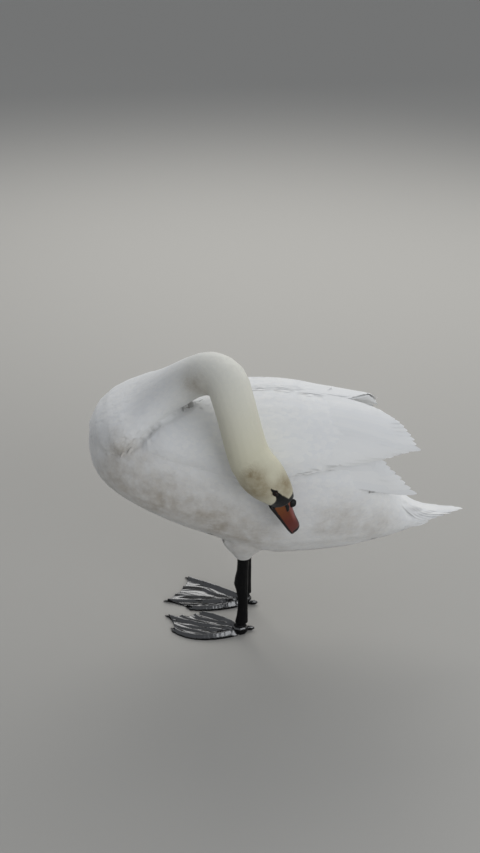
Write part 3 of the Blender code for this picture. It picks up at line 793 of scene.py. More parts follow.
for tract_name, (long, wide, rise, step, turn, ruffle, roof, shape) in TRACTS.items():
    chosen = np.flatnonzero(tract == tract_name)
    room = root_room[chosen]
    at, out, way = root_at[chosen], root_out[chosen], root_way[chosen]
    turned = np.radians(rng.normal(0, turn, len(chosen)))[:, None]
    way = unit(way * np.cos(turned) + np.cross(out, way) * np.sin(turned))
    tight = root_crease[chosen]                 # shorter and flatter where the plumage parts
    length = room * long * rng.uniform(0.88, 1.12, len(chosen)) * (1 - 0.55 * tight)
    ends = [SKIN_TREE.find_nearest(p)[2] for p in at + way * length[:, None]]
    length *= 1 - 0.60 * ease(0.25, 0.70, SKIN_CREASE[TRI[ends]].mean(1))     # they stop short of a parting
    width = room * wide * rng.uniform(0.92, 1.08, len(chosen)) * (1 - 0.35 * tight)
    raised = rise * (1 - 0.5 * tight)
    if tract_name == "head":
        raised = raised * face_fade(at)
    if tract_name == "thighs":                  # the last ones end with the thigh, above the bare leg
        length = np.minimum(length, np.maximum(at[:, 2] - THIGH_END + 0.001, 0.003))
    lift = np.abs(rng.normal(0, 1, len(chosen))) * ruffle
    piece = vanes("coat_" + tract_name, at, out, way, root_uv[chosen], length, width, raised, step, lift,
                  roof, shape, STRAY.get(tract_name, STRAY_ELSEWHERE))
    coat.append(piece)
    triangles = sum(len(p.vertices) - 2 for p in piece.data.polygons)
    print(piece.name, len(chosen), "roots,", triangles, "triangles")

# %% [markdown]
# ## Flight and tail feathers
#
# The long feathers are few, and each shows, so they get more points than a contour feather. A row of
# them is told by its first and last feather, root and tip, and the rest stand evenly between. Each is
# laid on the solid of its wing or of the tail by rays cast from the side it faces, keeps its own height
# past the edge, and has one edge a little raised over its neighbour, as the feathers of a closed wing
# have. Their roots are under the coverts.

# %% Where a long feather lies
BLADE = ((0.0, 0.42), (0.10, 0.74), (0.28, 0.94), (0.48, 1.00), (0.66, 0.97), (0.80, 0.84), (0.90, 0.62),
          (0.96, 0.40), (1.0, 0.12))
ROOT_TUCK = 0.0035                               # how far a root dips under the coverts (m)


def height_over(point, look):
    """How far the flesh stands over a point, seen from the side look points to (m); nan past its edge."""
    hit = OWNER_TREE.ray_cast(point + look * 0.08, -look, 0.13)
    return np.nan if hit[0] is None else (np.array(hit[0]) - point) @ look


def evened(high, half):
    """A blade's heights: kept past the flesh's edge, held near the shaft's, and smoothed along it."""
    for k in range(len(high)):
        shaft = high[k, 1] if not np.isnan(high[k, 1]) else high[k - 1, 1]
        high[k] = np.where(np.isnan(high[k]), shaft, high[k])
        high[k] = np.clip(high[k], high[k, 1] - 0.35 * half, high[k, 1] + 0.2 * half)
    return (high + np.vstack([high[:1], high[:-1]]) + np.vstack([high[1:], high[-1:]])) / 3


print("a long feather has", 3 * len(BLADE), "points")

# %% One row of long feathers


def blades(name, count, roots, tips, looks, half, layer, tilt):
    """A row of long feathers: first and last root; first, middle and last tip; the sides they face."""
    shares = np.array([b[0] for b in BLADE])
    grid, facing = np.empty((2, count, len(BLADE), 3, 3))
    start, length = np.empty((count, 3)), np.empty(count)
    (root_a, root_b), (tip_a, tip_m, tip_b) = np.array(roots), np.array(tips)
    for i in range(count):
        t = i / (count - 1)
        look = unit(np.array(looks[0]) * (1 - t) + np.array(looks[1]) * t)
        root = root_a + (root_b - root_a) * t
        tip = tip_a + (tip_b - tip_a) * t + (tip_m - (tip_a + tip_b) / 2) * 4 * t * (1 - t)
        tip = tip + unit(tip - root) * rng.uniform(-0.003, 0.002)
        along, length[i] = unit(tip - root), np.linalg.norm(tip - root)
        across = unit(np.cross(look, along))
        raised = np.sign((tip_b - tip_a) @ across)
        for k, (share, wide) in enumerate(BLADE):
            middle = root + (tip - root) * share
            for j in range(3):
                grid[i, k, j] = middle + across * (half * wide * (j - 1))
        high = evened(np.array([[height_over(p, look) for p in row] for row in grid[i]]), half)
        tuck = -ROOT_TUCK * (1 - ease(0.05, 0.40, shares))
        for j in range(3):
            up = high[:, j] + layer + tuck + tilt * raised * (j - 1) + (THICK * 1.4 if j == 1 else 0)
            grid[i, :, j] += look * up[:, None]
        down = np.gradient(grid[i, :, 1], axis=0)
        side = grid[i, :, 2] - grid[i, :, 0]
        normal = unit(np.cross(down, side))
        normal *= np.sign(normal @ look)[:, None]
        for j in range(3):
            facing[i, :, j] = unit(normal + unit(side) * (0.08 * (j - 1)))
        start[i] = root
    uv = np.array([TRI_UV[SKIN_TREE.find_nearest(p)[2]].mean(0) for p in start])
    return leaf_mesh(name, grid, facing, start, uv, length, np.full(count, half), BLADE)


print("depth of a long feather's root:", ROOT_TUCK * 1000, "mm")

# %% The rows of wings and tail
ROWS = {  # count; first, last root; first, middle, last tip; facing sides; half-width; layer, tilt
    "primaries_left": (7, ((0.100, -0.078, 0.486), (0.100, -0.079, 0.446)),
                       ((0.216, -0.056, 0.464), (0.249, -0.054, 0.428), (0.284, -0.048, 0.388)),
                       ((0.1, -1, 0.12), (0.1, -1, 0.12)), 0.0110, 0.0008, 0.0003),
    "secondaries_left": (7, ((0.085, -0.058, 0.543), (0.030, -0.090, 0.503)),
                         ((0.279, -0.043, 0.489), (0.232, -0.058, 0.482), (0.176, -0.068, 0.474)),
                         ((0, -0.94, 0.34), (0, -0.94, 0.34)), 0.0100, 0.0005, 0.0003),
    "tertials_left": (13, ((0.050, 0.036, 0.580), (0.065, -0.040, 0.557)),
                      ((0.190, 0.026, 0.552), (0.245, -0.003, 0.531), (0.285, -0.044, 0.491)),
                      ((0, -0.3, 1), (0, -0.8, 0.6)), 0.0125, 0.0009, 0.0003),
    "secondaries_right": (7, ((0.045, 0.146, 0.543), (-0.010, 0.176, 0.503)),
                          ((0.213, 0.124, 0.508), (0.184, 0.142, 0.490), (0.144, 0.161, 0.476)),
                          ((0, 0.94, 0.34), (0, 0.94, 0.34)), 0.0100, 0.0005, 0.0003),
    "tertials_right": (12, ((0.020, 0.048, 0.584), (0.035, 0.125, 0.557)),
                       ((0.152, 0.050, 0.565), (0.190, 0.089, 0.552), (0.212, 0.122, 0.516)),
                       ((0, -0.1, 1), (0, 0.8, 0.6)), 0.0125, 0.0006, 0.0002),
    "rectrices_left": (6, ((0.236, 0.041, 0.32), (0.236, 0.017, 0.31)),
                       ((0.401, 0.041, 0.294), (0.366, 0.027, 0.291), (0.322, 0.012, 0.286)),
                       ((0, 0, 1), (0, 0, 1)), 0.0090, 0.0006, 0.0002),
    "rectrices_right": (6, ((0.236, 0.044, 0.32), (0.236, 0.068, 0.31)),
                        ((0.398, 0.044, 0.294), (0.366, 0.058, 0.291), (0.322, 0.073, 0.286)),
                        ((0, 0, 1), (0, 0, 1)), 0.0090, 0.0004, 0.0002)}
for row_name, row in ROWS.items():
    coat.append(blades("coat_" + row_name, *row))
print("long feathers", sum(row[0] for row in ROWS.values()))

# %% [markdown]
# ## The finish of the plumage
#
# A feather is white because its keratin is clear and full of air, like snow: light goes in, is
# scattered and comes back soft. Subsurface scattering would show that, but on leaves a quarter of a
# millimetre thick it only costs time, so the shader is a bright, rough white with a faint sheen from
# the barbs. The markings tint it. The barbs run obliquely from the shaft, real ones three to the
# millimetre; they are drawn about three times as coarse, as a bump. The skin has the same colours, and
# on the bare face it is black and a little shiny.
#
# Colours are written the way a paint chart gives them, as sRGB hex, and one function turns them to the
# linear numbers that a shader adds up. One more adds a node with its settings and links: the node
# editor does the same by hand, but written out each finish can be read from top to bottom.

# %% Colours and shader nodes


def linear(hexa):
    """An sRGB colour such as "#E8E6E0" as linear red, green, blue and alpha."""
    parts = [int(hexa[i:i + 2], 16) / 255 for i in (1, 3, 5)]
    return (*[p / 12.92 if p <= 0.04045 else ((p + 0.055) / 1.055) ** 2.4 for p in parts], 1.0)


def add(tree, kind, settings=None, **inputs):
    """Adds a node. An input is named by its label, or i0, i1 by number, and takes a value or a socket."""
    made = tree.nodes.new("ShaderNode" + kind)
    for key, value in (settings or {}).items():
        setattr(made, key, value)
    for key, value in inputs.items():
        by_number = key[0] == "i" and key[1:].isdigit()
        socket = made.inputs[int(key[1:])] if by_number else made.inputs[key.replace("_", " ")]
        if isinstance(value, bpy.types.NodeSocket):
            tree.links.new(value, socket)
        else:
            socket.default_value = value
    return made


def new_finish(name):
    """A named material, its node tree and its main shader."""
    made = bpy.data.materials.new(name)
    made.use_nodes = True
    return made, made.node_tree, made.node_tree.nodes["Principled BSDF"]


print("half-bright sRGB grey is", round(linear("#808080")[0], 3), "in a shader")

# %% Plumage finish: markings, bare face and barbs
WHITE, CREAM, BROWN, SHADE = (linear(c) for c in ("#F0F0EF", "#D9D5BE", "#84704C", "#EAEBEC"))
# the first colour is painted shade, a grey-brown for the skin where the plumage parts; the second is the
# black of the bare face
PAINTED_FOLD_SHADE, NAKED = linear("#6A655B"), linear("#080808")
BARB_SPACING = 0.0010                            # drawn, three times the real one (m)


def marked_white(tree, place):
    """White, a little different on each feather, under cream and blotchy brown."""
    marks = add(tree, "Attribute", {"attribute_name": "markings"})
    parts = add(tree, "SeparateXYZ", Vector=marks.outputs["Vector"])
    blotch = add(tree, "TexNoise", Vector=place, Scale=38.0, Detail=3.0, Roughness=0.6)
    loud = add(tree, "MapRange", Value=blotch.outputs["Fac"], From_Min=0.30, From_Max=0.70,
               To_Min=0.55, To_Max=1.25)
    brown = add(tree, "Math", {"operation": "MULTIPLY", "use_clamp": True},
                i0=parts.outputs["Y"], i1=loud.outputs["Result"])
    tint = add(tree, "Mix", {"data_type": "RGBA"}, Factor=parts.outputs["Z"], i6=WHITE, i7=SHADE)
    creamy = add(tree, "Mix", {"data_type": "RGBA"}, Factor=parts.outputs["X"], i6=tint.outputs[2], i7=CREAM)
    colour = add(tree, "Mix", {"data_type": "RGBA"}, Factor=brown.outputs[0], i6=creamy.outputs[2], i7=BROWN)
    return colour.outputs[2]


def bared(tree, place, colour, shader):
    """Painted shade where the plumage parts, and shinier black skin with folds on the bare face."""
    parting = add(tree, "Attribute", {"attribute_name": "parting"})
    shaded_parting = add(tree, "Mix", {"data_type": "RGBA"}, Factor=parting.outputs["Fac"], i6=colour, i7=PAINTED_FOLD_SHADE)
    naked = add(tree, "Attribute", {"attribute_name": "bare"})
    black = add(tree, "Mix", {"data_type": "RGBA"}, Factor=naked.outputs["Fac"], i6=shaded_parting.outputs[2],
                i7=NAKED)
    shine = add(tree, "MapRange", Value=naked.outputs["Fac"], To_Min=0.85, To_Max=0.45)
    tree.links.new(shine.outputs["Result"], shader.inputs["Roughness"])
    folds = add(tree, "TexNoise", Vector=place, Scale=520.0, Detail=2.0)
    bump = add(tree, "Bump", Strength=0.35, Distance=0.0006, Height=folds.outputs["Fac"])
    return black.outputs[2], bump


def barbs(tree):
    """Fine ridges that leave the shaft on both sides at half a right angle."""
    barb = add(tree, "UVMap", {"uv_map": "barbs"})
    axes = add(tree, "SeparateXYZ", Vector=barb.outputs["UV"])
    out = add(tree, "Math", {"operation": "ABSOLUTE"}, i0=axes.outputs["X"])
    run = add(tree, "Math", {"operation": "SUBTRACT"}, i0=axes.outputs["Y"], i1=out.outputs[0])
    turns = add(tree, "Math", {"operation": "MULTIPLY"}, i0=run.outputs[0], i1=2 * math.pi / BARB_SPACING)
    wave = add(tree, "Math", {"operation": "SINE"}, i0=turns.outputs[0])
    return add(tree, "Bump", Strength=0.25, Distance=0.0003, Height=wave.outputs[0])


print("barbs drawn", BARB_SPACING * 1000, "mm apart")

# %% Plumage finish


def plumage_finish(name, bare=False):
    """Rough white with cream and brown markings; barbs on a feather, or the skin with its bare face."""
    made, tree, shader = new_finish(name)
    place = add(tree, "TexCoord").outputs["Object"]
    colour = marked_white(tree, place)
    if bare:
        colour, bump = bared(tree, place, colour, shader)
    else:
        shader.inputs["Roughness"].default_value = 0.82
        bump = barbs(tree)
    tree.links.new(bump.outputs["Normal"], shader.inputs["Normal"])
    tree.links.new(colour, shader.inputs["Base Color"])
    shader.inputs["IOR"].default_value = 1.45
    shader.inputs["Specular IOR Level"].default_value = 0.25
    shader.inputs["Sheen Weight"].default_value = 0.12
    shader.inputs["Sheen Roughness"].default_value = 0.5
    return made


PLUMAGE = plumage_finish("down_and_contour_feather")
SKIN_FINISH = plumage_finish("feathered_skin_with_bare_face", bare=True)
for piece in coat:
    piece.data.materials.append(PLUMAGE)
skin.data.materials.append(SKIN_FINISH)
print("finishes", PLUMAGE.name, SKIN_FINISH.name)

# %% [markdown]
# ## The bill
#
# The bill is horn over bone: high at the root, hollow-backed, broad and flat at the end, with a hard
# black nail, a black edge and a long black nostril on each side. It starts as a sphere of many rings,
# whose poles become the root and the tip; each ring is then moved to the bill's own section. A lathe
# would make it round, and a box would need its corners worked away.

# %% Bill: its sizes
BILL_LENGTH = 0.0895                             # gape to tip (m)
NOSTRIL = (0.0170, 0.0270, 0.0120, 0.0040)      # middle, along and above the edge; half-length and half-width
BILL_ROWS = np.array([  # share of the length, half-width, height of the culmen above the edge
    (-0.10, 0.0170, 0.0400), (0.00, 0.0190, 0.0425), (0.12, 0.0182, 0.0390), (0.25, 0.0172, 0.0335),
    (0.42, 0.0164, 0.0290), (0.60, 0.0164, 0.0252), (0.78, 0.0164, 0.0226), (0.90, 0.0146, 0.0204),
    (0.97, 0.0104, 0.0158), (1.00, 0.0050, 0.0090)])
print("bill", BILL_LENGTH * 1000, "mm long,", 2000 * BILL_ROWS[:, 1].max(), "mm wide")

# %% Bill: shaping a sphere
BILL_SEGMENTS, BILL_RINGS = 72, 90
LOWER_WIDE, LOWER_LONG = 0.86, 0.965             # the lower half's size, as shares of the upper one's


def ball(name, segments, rings):
    """A sphere of radius 1 at the origin, as a start for a rounded piece."""
    bpy.ops.object.select_all(action="DESELECT")
    bpy.ops.mesh.primitive_uv_sphere_add(segments=segments, ring_count=rings, radius=1.0)
    made = bpy.context.object
    made.name = name
    return made


def mandible(name, upper):
    """One half of the bill, and for each vertex its place along, across and above the edge."""
    piece = ball(name, BILL_SEGMENTS, BILL_RINGS)
    co = places(piece.data)
    share = np.arccos(np.clip(-co[:, 2], -1, 1)) / math.pi      # 0 at the root, 1 at the tip
    turn = np.arctan2(co[:, 1], co[:, 0])
    end = np.sqrt(np.clip(1 - (np.abs(2 * share - 1)) ** 14, 0, 1))   # closes both ends
    along = -0.10 + 1.10 * share
    half, high = (np.interp(along, BILL_ROWS[:, 0], BILL_ROWS[:, k]) for k in (1, 2))
    half, high = half * end, high * end
    across, rise = np.cos(turn), np.sin(turn)
    if upper:
        lift = np.where(rise > 0, high * np.abs(rise) ** 0.82, -0.0012 * np.abs(rise))
        waist = 1 - 0.10 * np.sin(np.clip(rise, 0, 1) * math.pi)        # hollow sides
        across = across * waist
    else:
        across *= LOWER_WIDE
        lift = np.where(rise < 0, -0.0038 * (1 - 0.5 * share) * np.abs(rise) ** 0.7, 0.0004) * end - 0.0008
        along = along * LOWER_LONG
    co = (BILL_ROOT + np.outer(along * BILL_LENGTH, BILL_ALONG) + np.outer(half * across, BILL_SIDE)
          + np.outer(lift, BILL_UP))
    put(piece.data, co)
    return piece, along, half * across, lift, half, high


print("rings of each half of the bill:", BILL_RINGS)

# %% Bill: the upper half with its nail, nostrils and black edge
bill, along, side, lift, half, high = mandible("bill_horn", True)
level, beside = lift / np.maximum(high, 1e-5), np.abs(side) / np.maximum(half, 1e-5)
nail = ease(0.835, 0.860, along) * ease(0.97, 0.88, beside) * ease(0.12, 0.27, level)
ahead, above = along * BILL_LENGTH - NOSTRIL[0], lift - NOSTRIL[1]
slit_far = np.hypot((ahead * 0.93 - above * 0.37) / NOSTRIL[2], (ahead * 0.37 + above * 0.93) / NOSTRIL[3])
nostril = ease(1.0, 0.8, slit_far) * ease(0.002, 0.004, np.abs(side))
edge = ease(0.17, 0.11, level)
root, tip = ease(0.045, 0.015, along), ease(0.945, 0.970, along)
ridge = ease(0.40, 0.50, along) * ease(0.0022, 0.0012, np.abs(side)) * ease(0.6, 0.8, level)
black = np.maximum.reduce([nail, nostril, edge, root, ridge, tip])
grown = places(bill.data) + outward(bill.data) * (0.0007 * nail - 0.0020 * nostril + 0.0004 * edge)[:, None]
put(bill.data, grown)
mark(bill.data, "black", black)
mark(bill.data, "along", np.clip(along, 0, 1))
# painted highlight: where the culmen faces up, mid-way along, the bill is painted paler and pinker
mark(bill.data, "culmen", ease(0.75, 0.93, level) * ease(0.08, 0.2, along) * ease(0.75, 0.5, along))
bill.data.shade_smooth()
print(bill.name, len(bill.data.polygons), "faces")

# %% Bill: the lower half
lower_bill, along, side, lift, half, high = mandible("bill_horn_lower", False)
mark(lower_bill.data, "black", np.ones(len(along)))
mark(lower_bill.data, "culmen", np.zeros(len(along)))
mark(lower_bill.data, "along", np.clip(along, 0, 1))
lower_bill.data.shade_smooth()
print(lower_bill.name, len(lower_bill.data.polygons), "faces")

# %% [markdown]
# ## The knob
#
# A black knob of soft skin stands on the root of the bill, largest on an old male in spring. It is a
# sphere again, drawn a little longer than wide and dented by two slow waves, so that its highlight
# isn't that of a billiard ball.

# %% Knob over the root of the bill
KNOB_HALF = (0.0094, 0.0076, 0.0098)             # half its size along, across and up (m)
knob = ball("bill_knob_skin", 48, 32)
co = places(knob.data)
middle = BILL_ROOT + BILL_ALONG * (BILL_LENGTH * 0.225) + BILL_UP * 0.0355
swell = 1 + 0.05 * np.sin(5 * co[:, 0] + 2) * np.cos(4 * co[:, 1])
co = co * swell[:, None] * KNOB_HALF
put(knob.data, middle + np.outer(co[:, 0], BILL_ALONG) + np.outer(co[:, 1], BILL_SIDE)
    + np.outer(co[:, 2], BILL_UP))
knob.data.shade_smooth()
print(knob.name, len(knob.data.polygons), "faces")

# %% [markdown]
# ## Horn and black skin
#
# A bill is keratin, the stuff of nails, with an index of about 1.54: it has a broad, soft highlight and
# shallow pits. Its orange reddens towards the tip along one ramp, and the black of nail, edge, nostril
# and root is an attribute of the mesh, roughened by a fine noise where it meets the orange.
#
# Knob, lids, legs, webs and claws are black skin or horn, each with its own roughness and grain: cells
# of about 1 to 2.6 mm, grooved at their edges. Wet webs get a clear film, a coat, over the same black,
# so that they flash where the dry leg stays dull.

# %% Horn finish


def horn_finish():
    """Keratin over bone: orange at the root, redder towards the nail, black at edge and nostril."""
    made, tree, shader = new_finish("bill_keratin_orange")
    place = add(tree, "TexCoord")
    along = add(tree, "Attribute", {"attribute_name": "along"})
    black = add(tree, "Attribute", {"attribute_name": "black"})
    warm = add(tree, "ValToRGB", Fac=along.outputs["Fac"])
    stops = warm.color_ramp.elements
    stops[0].position, stops[0].color = 0.04, linear("#7E4A1C")
    stops[1].position, stops[1].color = 0.96, linear("#6C4A4B")
    for position, colour in ((0.35, "#6A3317"), (0.58, "#60241E"), (0.80, "#603030")):
        stops.new(position).color = linear(colour)
    grain = add(tree, "TexNoise", Vector=place.outputs["Object"], Scale=160.0, Detail=4.0, Roughness=0.65)
    worn = add(tree, "MapRange", Value=grain.outputs["Fac"], From_Min=0.35, From_Max=0.75, To_Max=0.55)
    mottle = add(tree, "Mix", {"data_type": "RGBA"}, Factor=worn.outputs["Result"], i6=warm.outputs[0],
                 i7=linear("#6E3320"))
    # painted highlight along the top of the culmen: a paler pink over the orange
    culmen = add(tree, "Attribute", {"attribute_name": "culmen"})
    culmen_highlight = add(tree, "Mix", {"data_type": "RGBA"}, Factor=culmen.outputs["Fac"], i6=mottle.outputs[2],
               i7=linear("#864D48"))
    shaken = add(tree, "Math", {"operation": "MULTIPLY_ADD"}, i0=grain.outputs["Fac"], i1=0.5, i2=-0.25)
    edge = add(tree, "Math", {"operation": "ADD"}, i0=black.outputs["Fac"], i1=shaken.outputs[0])
    crisp = add(tree, "MapRange", Value=edge.outputs[0], From_Min=0.35, From_Max=0.6)
    colour = add(tree, "Mix", {"data_type": "RGBA"}, Factor=crisp.outputs["Result"], i6=culmen_highlight.outputs[2],
                 i7=linear("#0B0A0A"))
    tree.links.new(colour.outputs[2], shader.inputs["Base Color"])
    pits = add(tree, "TexVoronoi", Vector=place.outputs["Object"], Scale=700.0)
    bump = add(tree, "Bump", Strength=0.15, Distance=0.0003, Height=pits.outputs["Distance"])
    tree.links.new(bump.outputs["Normal"], shader.inputs["Normal"])
    shader.inputs["Roughness"].default_value = 0.40
    shader.inputs["IOR"].default_value = 1.54
    shader.inputs["Specular IOR Level"].default_value = 0.35
    return made


HORN = horn_finish()
for piece in (bill, lower_bill):
    piece.data.materials.append(HORN)
print("finish", HORN.name)

# %% Black skin finish


def black_skin_finish(name, roughness, scale, strength, colour="#0E0E10", specular=0.35, film=0.0):
    """Naked black skin: pebbled scales (scale of them to the metre), a little shine, a film of water."""
    made, tree, shader = new_finish(name)
    place = add(tree, "TexCoord")
    cells = add(tree, "TexVoronoi", {"feature": "DISTANCE_TO_EDGE"}, Vector=place.outputs["Object"],
                Scale=scale)
    groove = add(tree, "MapRange", Value=cells.outputs["Distance"], From_Max=0.12)
    cloud = add(tree, "TexNoise", Vector=place.outputs["Object"], Scale=60.0, Detail=4.0)
    tone = add(tree, "Mix", {"data_type": "RGBA"}, Factor=cloud.outputs["Fac"], i6=linear("#060607"),
               i7=linear(colour))
    tree.links.new(tone.outputs[2], shader.inputs["Base Color"])
    wet = add(tree, "MapRange", Value=cloud.outputs["Fac"], From_Min=0.3, From_Max=0.7,
              To_Min=roughness * 0.75, To_Max=roughness * 1.3)
    tree.links.new(wet.outputs["Result"], shader.inputs["Roughness"])
    bump = add(tree, "Bump", Strength=strength, Distance=0.0004, Height=groove.outputs["Result"])
    tree.links.new(bump.outputs["Normal"], shader.inputs["Normal"])
    shader.inputs["IOR"].default_value = 1.45
    shader.inputs["Specular IOR Level"].default_value = specular
    shader.inputs["Coat Weight"].default_value = film
    shader.inputs["Coat Roughness"].default_value = 0.10
    shader.inputs["Coat IOR"].default_value = 1.6
    return made


KNOB_SKIN = black_skin_finish("knob_black_skin", 0.42, 420.0, 0.4)
knob.data.materials.append(KNOB_SKIN)
print("finish", KNOB_SKIN.name)

# %% [markdown]
# ## The eyes
#
# A swan's eye is a dark brown ball, of which the lids show a disc about a centimetre across. The ball
# is a sphere with a slightly raised cornea, and the lids are a ring of black skin that hugs it: a
# torus pressed on to the side of the head. Lids cut into the head's own skin would need far finer
# squares there.

# %% The ball of an eye
EYE_RADIUS, EYE_SUNK = 0.0060, 0.0012            # the ball, and how far it sits in from its solid (m)


def eyeball(name, middle, first, second, facing):
    """A ball that looks along facing, with its rings of colour marked from the pupil out."""
    eye = ball(name, 48, 32)
    co = places(eye.data)
    mark(eye.data, "ring", np.degrees(np.arccos(np.clip(co[:, 2], -1, 1))) / 90)
    cornea = 1 + 0.06 * ease(0.80, 0.97, co[:, 2])
    co = co * EYE_RADIUS * cornea[:, None]
    put(eye.data, middle + np.outer(co[:, 0], first) + np.outer(co[:, 1], second)
        + np.outer(co[:, 2], facing))
    eye.data.shade_smooth()
    return eye


print("eyes", 2000 * EYE_RADIUS, "mm across")

# %% Lids, and both eyes in place
LID_RADIUS, LID_HEIGHT = 0.0051, 0.0042          # the ring of the lids, at the middle of its roll (m)


def eyelids(name, middle, first, second, facing):
    """An oval ring of wrinkled skin round the ball."""
    bpy.ops.object.select_all(action="DESELECT")
    bpy.ops.mesh.primitive_torus_add(major_segments=56, minor_segments=16, major_radius=1.0,
                                     minor_radius=0.30)
    lid = bpy.context.object
    lid.name = name
    co = places(lid.data)
    turn = np.arctan2(co[:, 1], co[:, 0])
    oval = 1 - 0.30 * np.abs(np.sin(turn)) ** 2
    radial = np.hypot(co[:, 0], co[:, 1]) * LID_RADIUS * oval
    high = co[:, 2] * LID_HEIGHT + 0.0026 + 0.0003 * np.sin(9 * turn) * (co[:, 2] > 0)
    put(lid.data, middle + np.outer(radial * np.cos(turn), first) + np.outer(radial * np.sin(turn), second)
        + np.outer(high, facing))
    lid.data.shade_smooth()
    return lid


eyes, lids = [], []
for label, centre, sign in (("left", EYES[0], -1), ("right", EYES[1], 1)):
    hit = SKIN_TREE.find_nearest(centre)
    facing = unit(TRI_OUT[hit[2]] * 0.5 + LINE_CHEEK[-30] * sign * 0.5)
    deep = centre - facing * EYE_SUNK
    first = unit(BILL_ALONG - facing * (BILL_ALONG @ facing))
    second = np.cross(facing, first)
    eyes.append(eyeball("eyeball_" + label, deep, first, second, facing))
    lids.append(eyelids("eyelids_" + label, deep, first, second, facing))
print("eyes", [[round(float(v), 3) for v in e] for e in EYES])

# %% Eye finish


def eye_finish():
    """A wet ball: black pupil, dark brown iris, darker rim, under water-clear cornea."""
    made, tree, shader = new_finish("eye_dark_brown_wet")
    ring = add(tree, "Attribute", {"attribute_name": "ring"})
    bands = add(tree, "ValToRGB", Fac=ring.outputs["Fac"])
    stops = bands.color_ramp.elements
    stops[0].position, stops[0].color = 0.26, linear("#020202")
    stops[1].position, stops[1].color = 0.31, linear("#2B1609")
    stops.new(0.62).color = linear("#1B0D06")
    stops.new(0.72).color = linear("#060404")
    tree.links.new(bands.outputs[0], shader.inputs["Base Color"])
    shader.inputs["Roughness"].default_value = 0.06
    shader.inputs["IOR"].default_value = 1.38
    shader.inputs["Specular IOR Level"].default_value = 0.4
    return made


EYE_FINISH = eye_finish()
LID_FINISH = black_skin_finish("eyelid_black_skin", 0.45, 900.0, 0.4)
for eye in eyes:
    eye.data.materials.append(EYE_FINISH)
for lid in lids:
    lid.data.materials.append(LID_FINISH)
print("finishes", EYE_FINISH.name, LID_FINISH.name)

# %% [markdown]
# ## Legs and feet
#
# The leg is bare black skin over bone and sinew, with rows of scutes in front and on the toes, and the
# three front toes carry a web that hangs in pleats when the foot stands on dry ground. Leg and foot
# are one skin: their solids are copied, joined and wrapped by a fine remesh, and the scutes and pleats
# are then raised from it along its own toes. They could be sculpted, but a formula along each toe
# repeats them as evenly as the real ones stand.

# %% Toes
TOE_POINTS = 60
TOES = {  # on the floor: knuckle, a point half way, tip
    "left": (((-0.081, -0.0077), (-0.126, 0.0303), (-0.169, 0.0523)),
             ((-0.081, -0.0137), (-0.166, 0.0043), (-0.247, 0.0403)),
             ((-0.081, -0.0177), (-0.169, -0.0367), (-0.233, -0.0077))),
    "right": (((-0.073, 0.0913), (-0.136, 0.0723), (-0.199, 0.0723)),
              ((-0.073, 0.0973), (-0.166, 0.0923), (-0.253, 0.0983)),
              ((-0.073, 0.1023), (-0.143, 0.1503), (-0.207, 0.1883)))}


def toe_curve(toe):
    """A smooth arc through the three points of a toe."""
    a, b, c = (np.array(p) for p in toe)
    s = np.linspace(0, 1, TOE_POINTS)[:, None]
    return a * (1 - s) * (1 - 2 * s) + b * 4 * s * (1 - s) + c * s * (2 * s - 1)


print("toes of the left foot (m)", [round(float(np.linalg.norm(np.subtract(toe[2], toe[0]))), 3)
                                    for toe in TOES["left"]])

# %% Where a point is on the foot


def beside_toes(flat, curves):
    """For each point on the floor plan: distance to the nearest toe, and how far along that toe it is."""
    gaps, run = [], []
    for curve in curves:
        away = np.linalg.norm(flat[:, None] - curve[None], axis=-1)
        gaps.append(away.min(1))
        run.append(away.argmin(1) / (TOE_POINTS - 1))
    gaps, run = np.array(gaps), np.array(run)
    return gaps.min(0), np.take_along_axis(run, gaps.argmin(0)[None], 0)[0]


def between_toes(flat, curves):
    """Distance from the knuckle, which of the two webs, and the share of the way across it."""
    heel = curves[1][0]
    far = np.linalg.norm(flat - heel, axis=1)
    turn = np.arctan2(flat[:, 1] - heel[1], -(flat[:, 0] - heel[0]))
    angles = []
    for curve in curves:
        reach = np.linalg.norm(curve - heel, axis=1)
        angle = np.arctan2(curve[:, 1] - heel[1], -(curve[:, 0] - heel[0]))
        order = np.argsort(reach[8:])
        angles.append(np.interp(far, reach[8:][order], angle[8:][order]))
    low, mid, high = sorted(angles, key=np.mean)
    first = turn < mid
    return far, first, np.where(first, (turn - low) / (mid - low), (turn - mid) / (high - mid))


print("toes", sum(len(toes) for toes in TOES.values()), "on", len(TOES), "feet")

# %% Leg skins with scutes and pleats
LEG_SQUARE = 0.0016                              # side of the remesh's squares (m)
PLEAT, FINE_PLEAT = 0.0064, 0.0012               # heights (m)
TOE_ROUND, SCUTE, SCUTE_STEP = 0.0030, 0.0005, 0.0065      # heights, and a shin's scute from edge to edge


